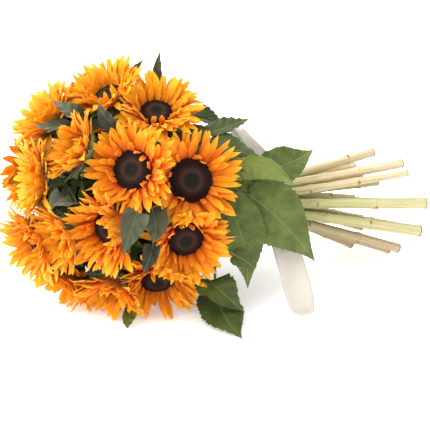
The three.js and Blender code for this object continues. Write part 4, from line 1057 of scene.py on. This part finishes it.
def strip_places(points, widths, rows, turn):
    """A ribbon along a line, gathered into pleats where it is drawn in."""
    line, length = smooth_line(points, rows)
    shares = np.linspace(0, 1, rows)
    widths = np.interp(shares, np.linspace(0, 1, len(widths)), widths)
    places, marks = [], []
    for i in range(rows):
        ahead = unit(line[min(i + 1, rows - 1)] - line[max(i - 1, 0)])
        wide = np.array([1, 0, np.interp(shares[i], np.linspace(0, 1, len(turn)), turn)])
        wide = unit(wide - (wide @ ahead) * ahead)
        up = np.cross(ahead, wide)
        drawn = 1 - widths[i] / RIBBON_WIDE
        fall = FALL * math.sin(math.pi * shares[i])
        for v in np.linspace(-1, 1, STRIP_COLUMNS):
            crease = drawn * PLEAT * math.cos(v * math.pi * PLEATS) + fall * math.sin(6 * shares[i] + 2.6 * v)
            places.append(line[i] + wide * v * widths[i] / 2 + up * crease)
            marks.append((v * RIBBON_WIDE / 200, shares[i] * length / 100, 0.5))
    return places, marks, woven(rows, STRIP_COLUMNS, closed=False), length


places, marks = [], []
for row in range(BAND_ROWS):
    share = row / (BAND_ROWS - 1) - 0.5
    for k in range(BAND_SIDES):
        around = 360 * k / BAND_SIDES
        crease = 0.35 * math.cos(4 * math.pi * share + 0.4 * math.sin(math.radians(2 * around)))
        places.append(round_tie(share * BAND_WIDE, around, BAND_RADIUS + 0.8 * share + crease))
        marks.append((share * BAND_WIDE / 100, math.radians(around) * BAND_RADIUS / 100, 0.5))
band = cloth("ribbon_band_cloth", places, marks, woven(BAND_ROWS, BAND_SIDES))
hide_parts("ribbon_band")

STRIPS = [  # each with its line, its widths along it, its rows, how it turns along it, and how it is held
    ("ribbon_loop", [*LOOP_LINE, KNOT], [12, 18, 20, 18, 17, 17, 18, 20, 12], 60, [0, 0], "gathered"),
    ("ribbon_long_tail", LONG_LINE, [12, 20, 28, 34, *[37] * 9, 36.5, 34, 20], 70,
     [0, 0.15, 0.22, 0.15, 0.05, 0, 0], "hung"),
    ("ribbon_short_tail", SHORT_LINE, [12, 24, 35, 37, 37], 40, [0, -0.3, -0.35], "hung"),
]
for name, line, widths, rows, turn, held in STRIPS:
    places, marks, faces, length = strip_places([KNOT, *line], widths, rows, turn)
    strip = cloth(name, places, marks, faces)
    if name == "ribbon_loop":
        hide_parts("ribbon_bow")
    length * 0.001

KNOT_SIDES, KNOT_ROWS = 24, 9
KNOT_THICK, KNOT_WAIST, KNOT_LONG = 5.2, 1.2, 7.5
places, marks = [], []
for row in range(KNOT_ROWS):
    share = 2 * row / (KNOT_ROWS - 1) - 1
    for k in range(KNOT_SIDES):
        around = 2 * math.pi * k / KNOT_SIDES
        out = KNOT_THICK - KNOT_WAIST * share**2 + 0.4 * math.cos(3 * around + 2 * share)
        places.append(KNOT + np.array([KNOT_LONG * share, out * math.cos(around), out * math.sin(around)]))
        marks.append((share * 0.08, around * 0.05, 0.5))
knot = cloth("ribbon_knot", places, marks, woven(KNOT_ROWS, KNOT_SIDES))

# Table, lights and camera
# A plain white table in a white room, with a faint glow of its own so that it stays as pale as in a studio. A
# large soft light stands at the upper left and a weak one fills in from the right. The bunch is seen from the
# near side and a little above, across it from its left.

bpy.ops.object.select_all(action="DESELECT")
bpy.ops.mesh.primitive_plane_add(size=12, location=(0, 0, -0.0004))
table = bpy.context.object
table.name = "table"
table_finish = bpy.data.materials.new("white_table")
table_finish.use_nodes = True
table_skin = table_finish.node_tree.nodes["Principled BSDF"].inputs
for socket, value in (("Base Color", (0.98, 0.98, 0.98, 1)), ("Roughness", 0.9),
                      ("Emission Color", (1, 1, 1, 1)), ("Emission Strength", 0.28)):
    table_skin[socket].default_value = value
table.data.materials.append(table_finish)
table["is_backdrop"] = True

sky = bpy.data.worlds.new("white_room")
sky.use_nodes = True
sky.node_tree.nodes["Background"].inputs["Color"].default_value = (1, 1, 1, 1)
sky.node_tree.nodes["Background"].inputs["Strength"].default_value = 0.84
bpy.context.scene.world = sky

for name, turned, energy, spread in (
        ("window_light", (56, 0, -102), 6.2, 100), ("fill_light", (35, 0, 60), 0.8, 120)):
    turned = [math.radians(turn) for turn in turned]
    bpy.ops.object.light_add(type="SUN", location=(-1.5, 0, 1.2), rotation=turned)
    light = bpy.context.object
    light.name = name
    light.data.energy = energy
    light.data.angle = math.radians(spread)

bpy.ops.object.camera_add(
    location=(-0.4343, -1.5392, 0.7152), rotation=(math.radians(69), 0, math.radians(-20)))
camera = bpy.context.object
camera.data.lens = 113.9
camera.data.sensor_width = 36
bpy.context.scene.camera = camera
bpy.context.scene.view_settings.view_transform = "Standard"

low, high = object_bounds()
sizes = {
    "solids": [list(map(float, corner)) for corner in solid_box],
    "dressed": [list(map(float, corner)) for corner in (low, high)],
}
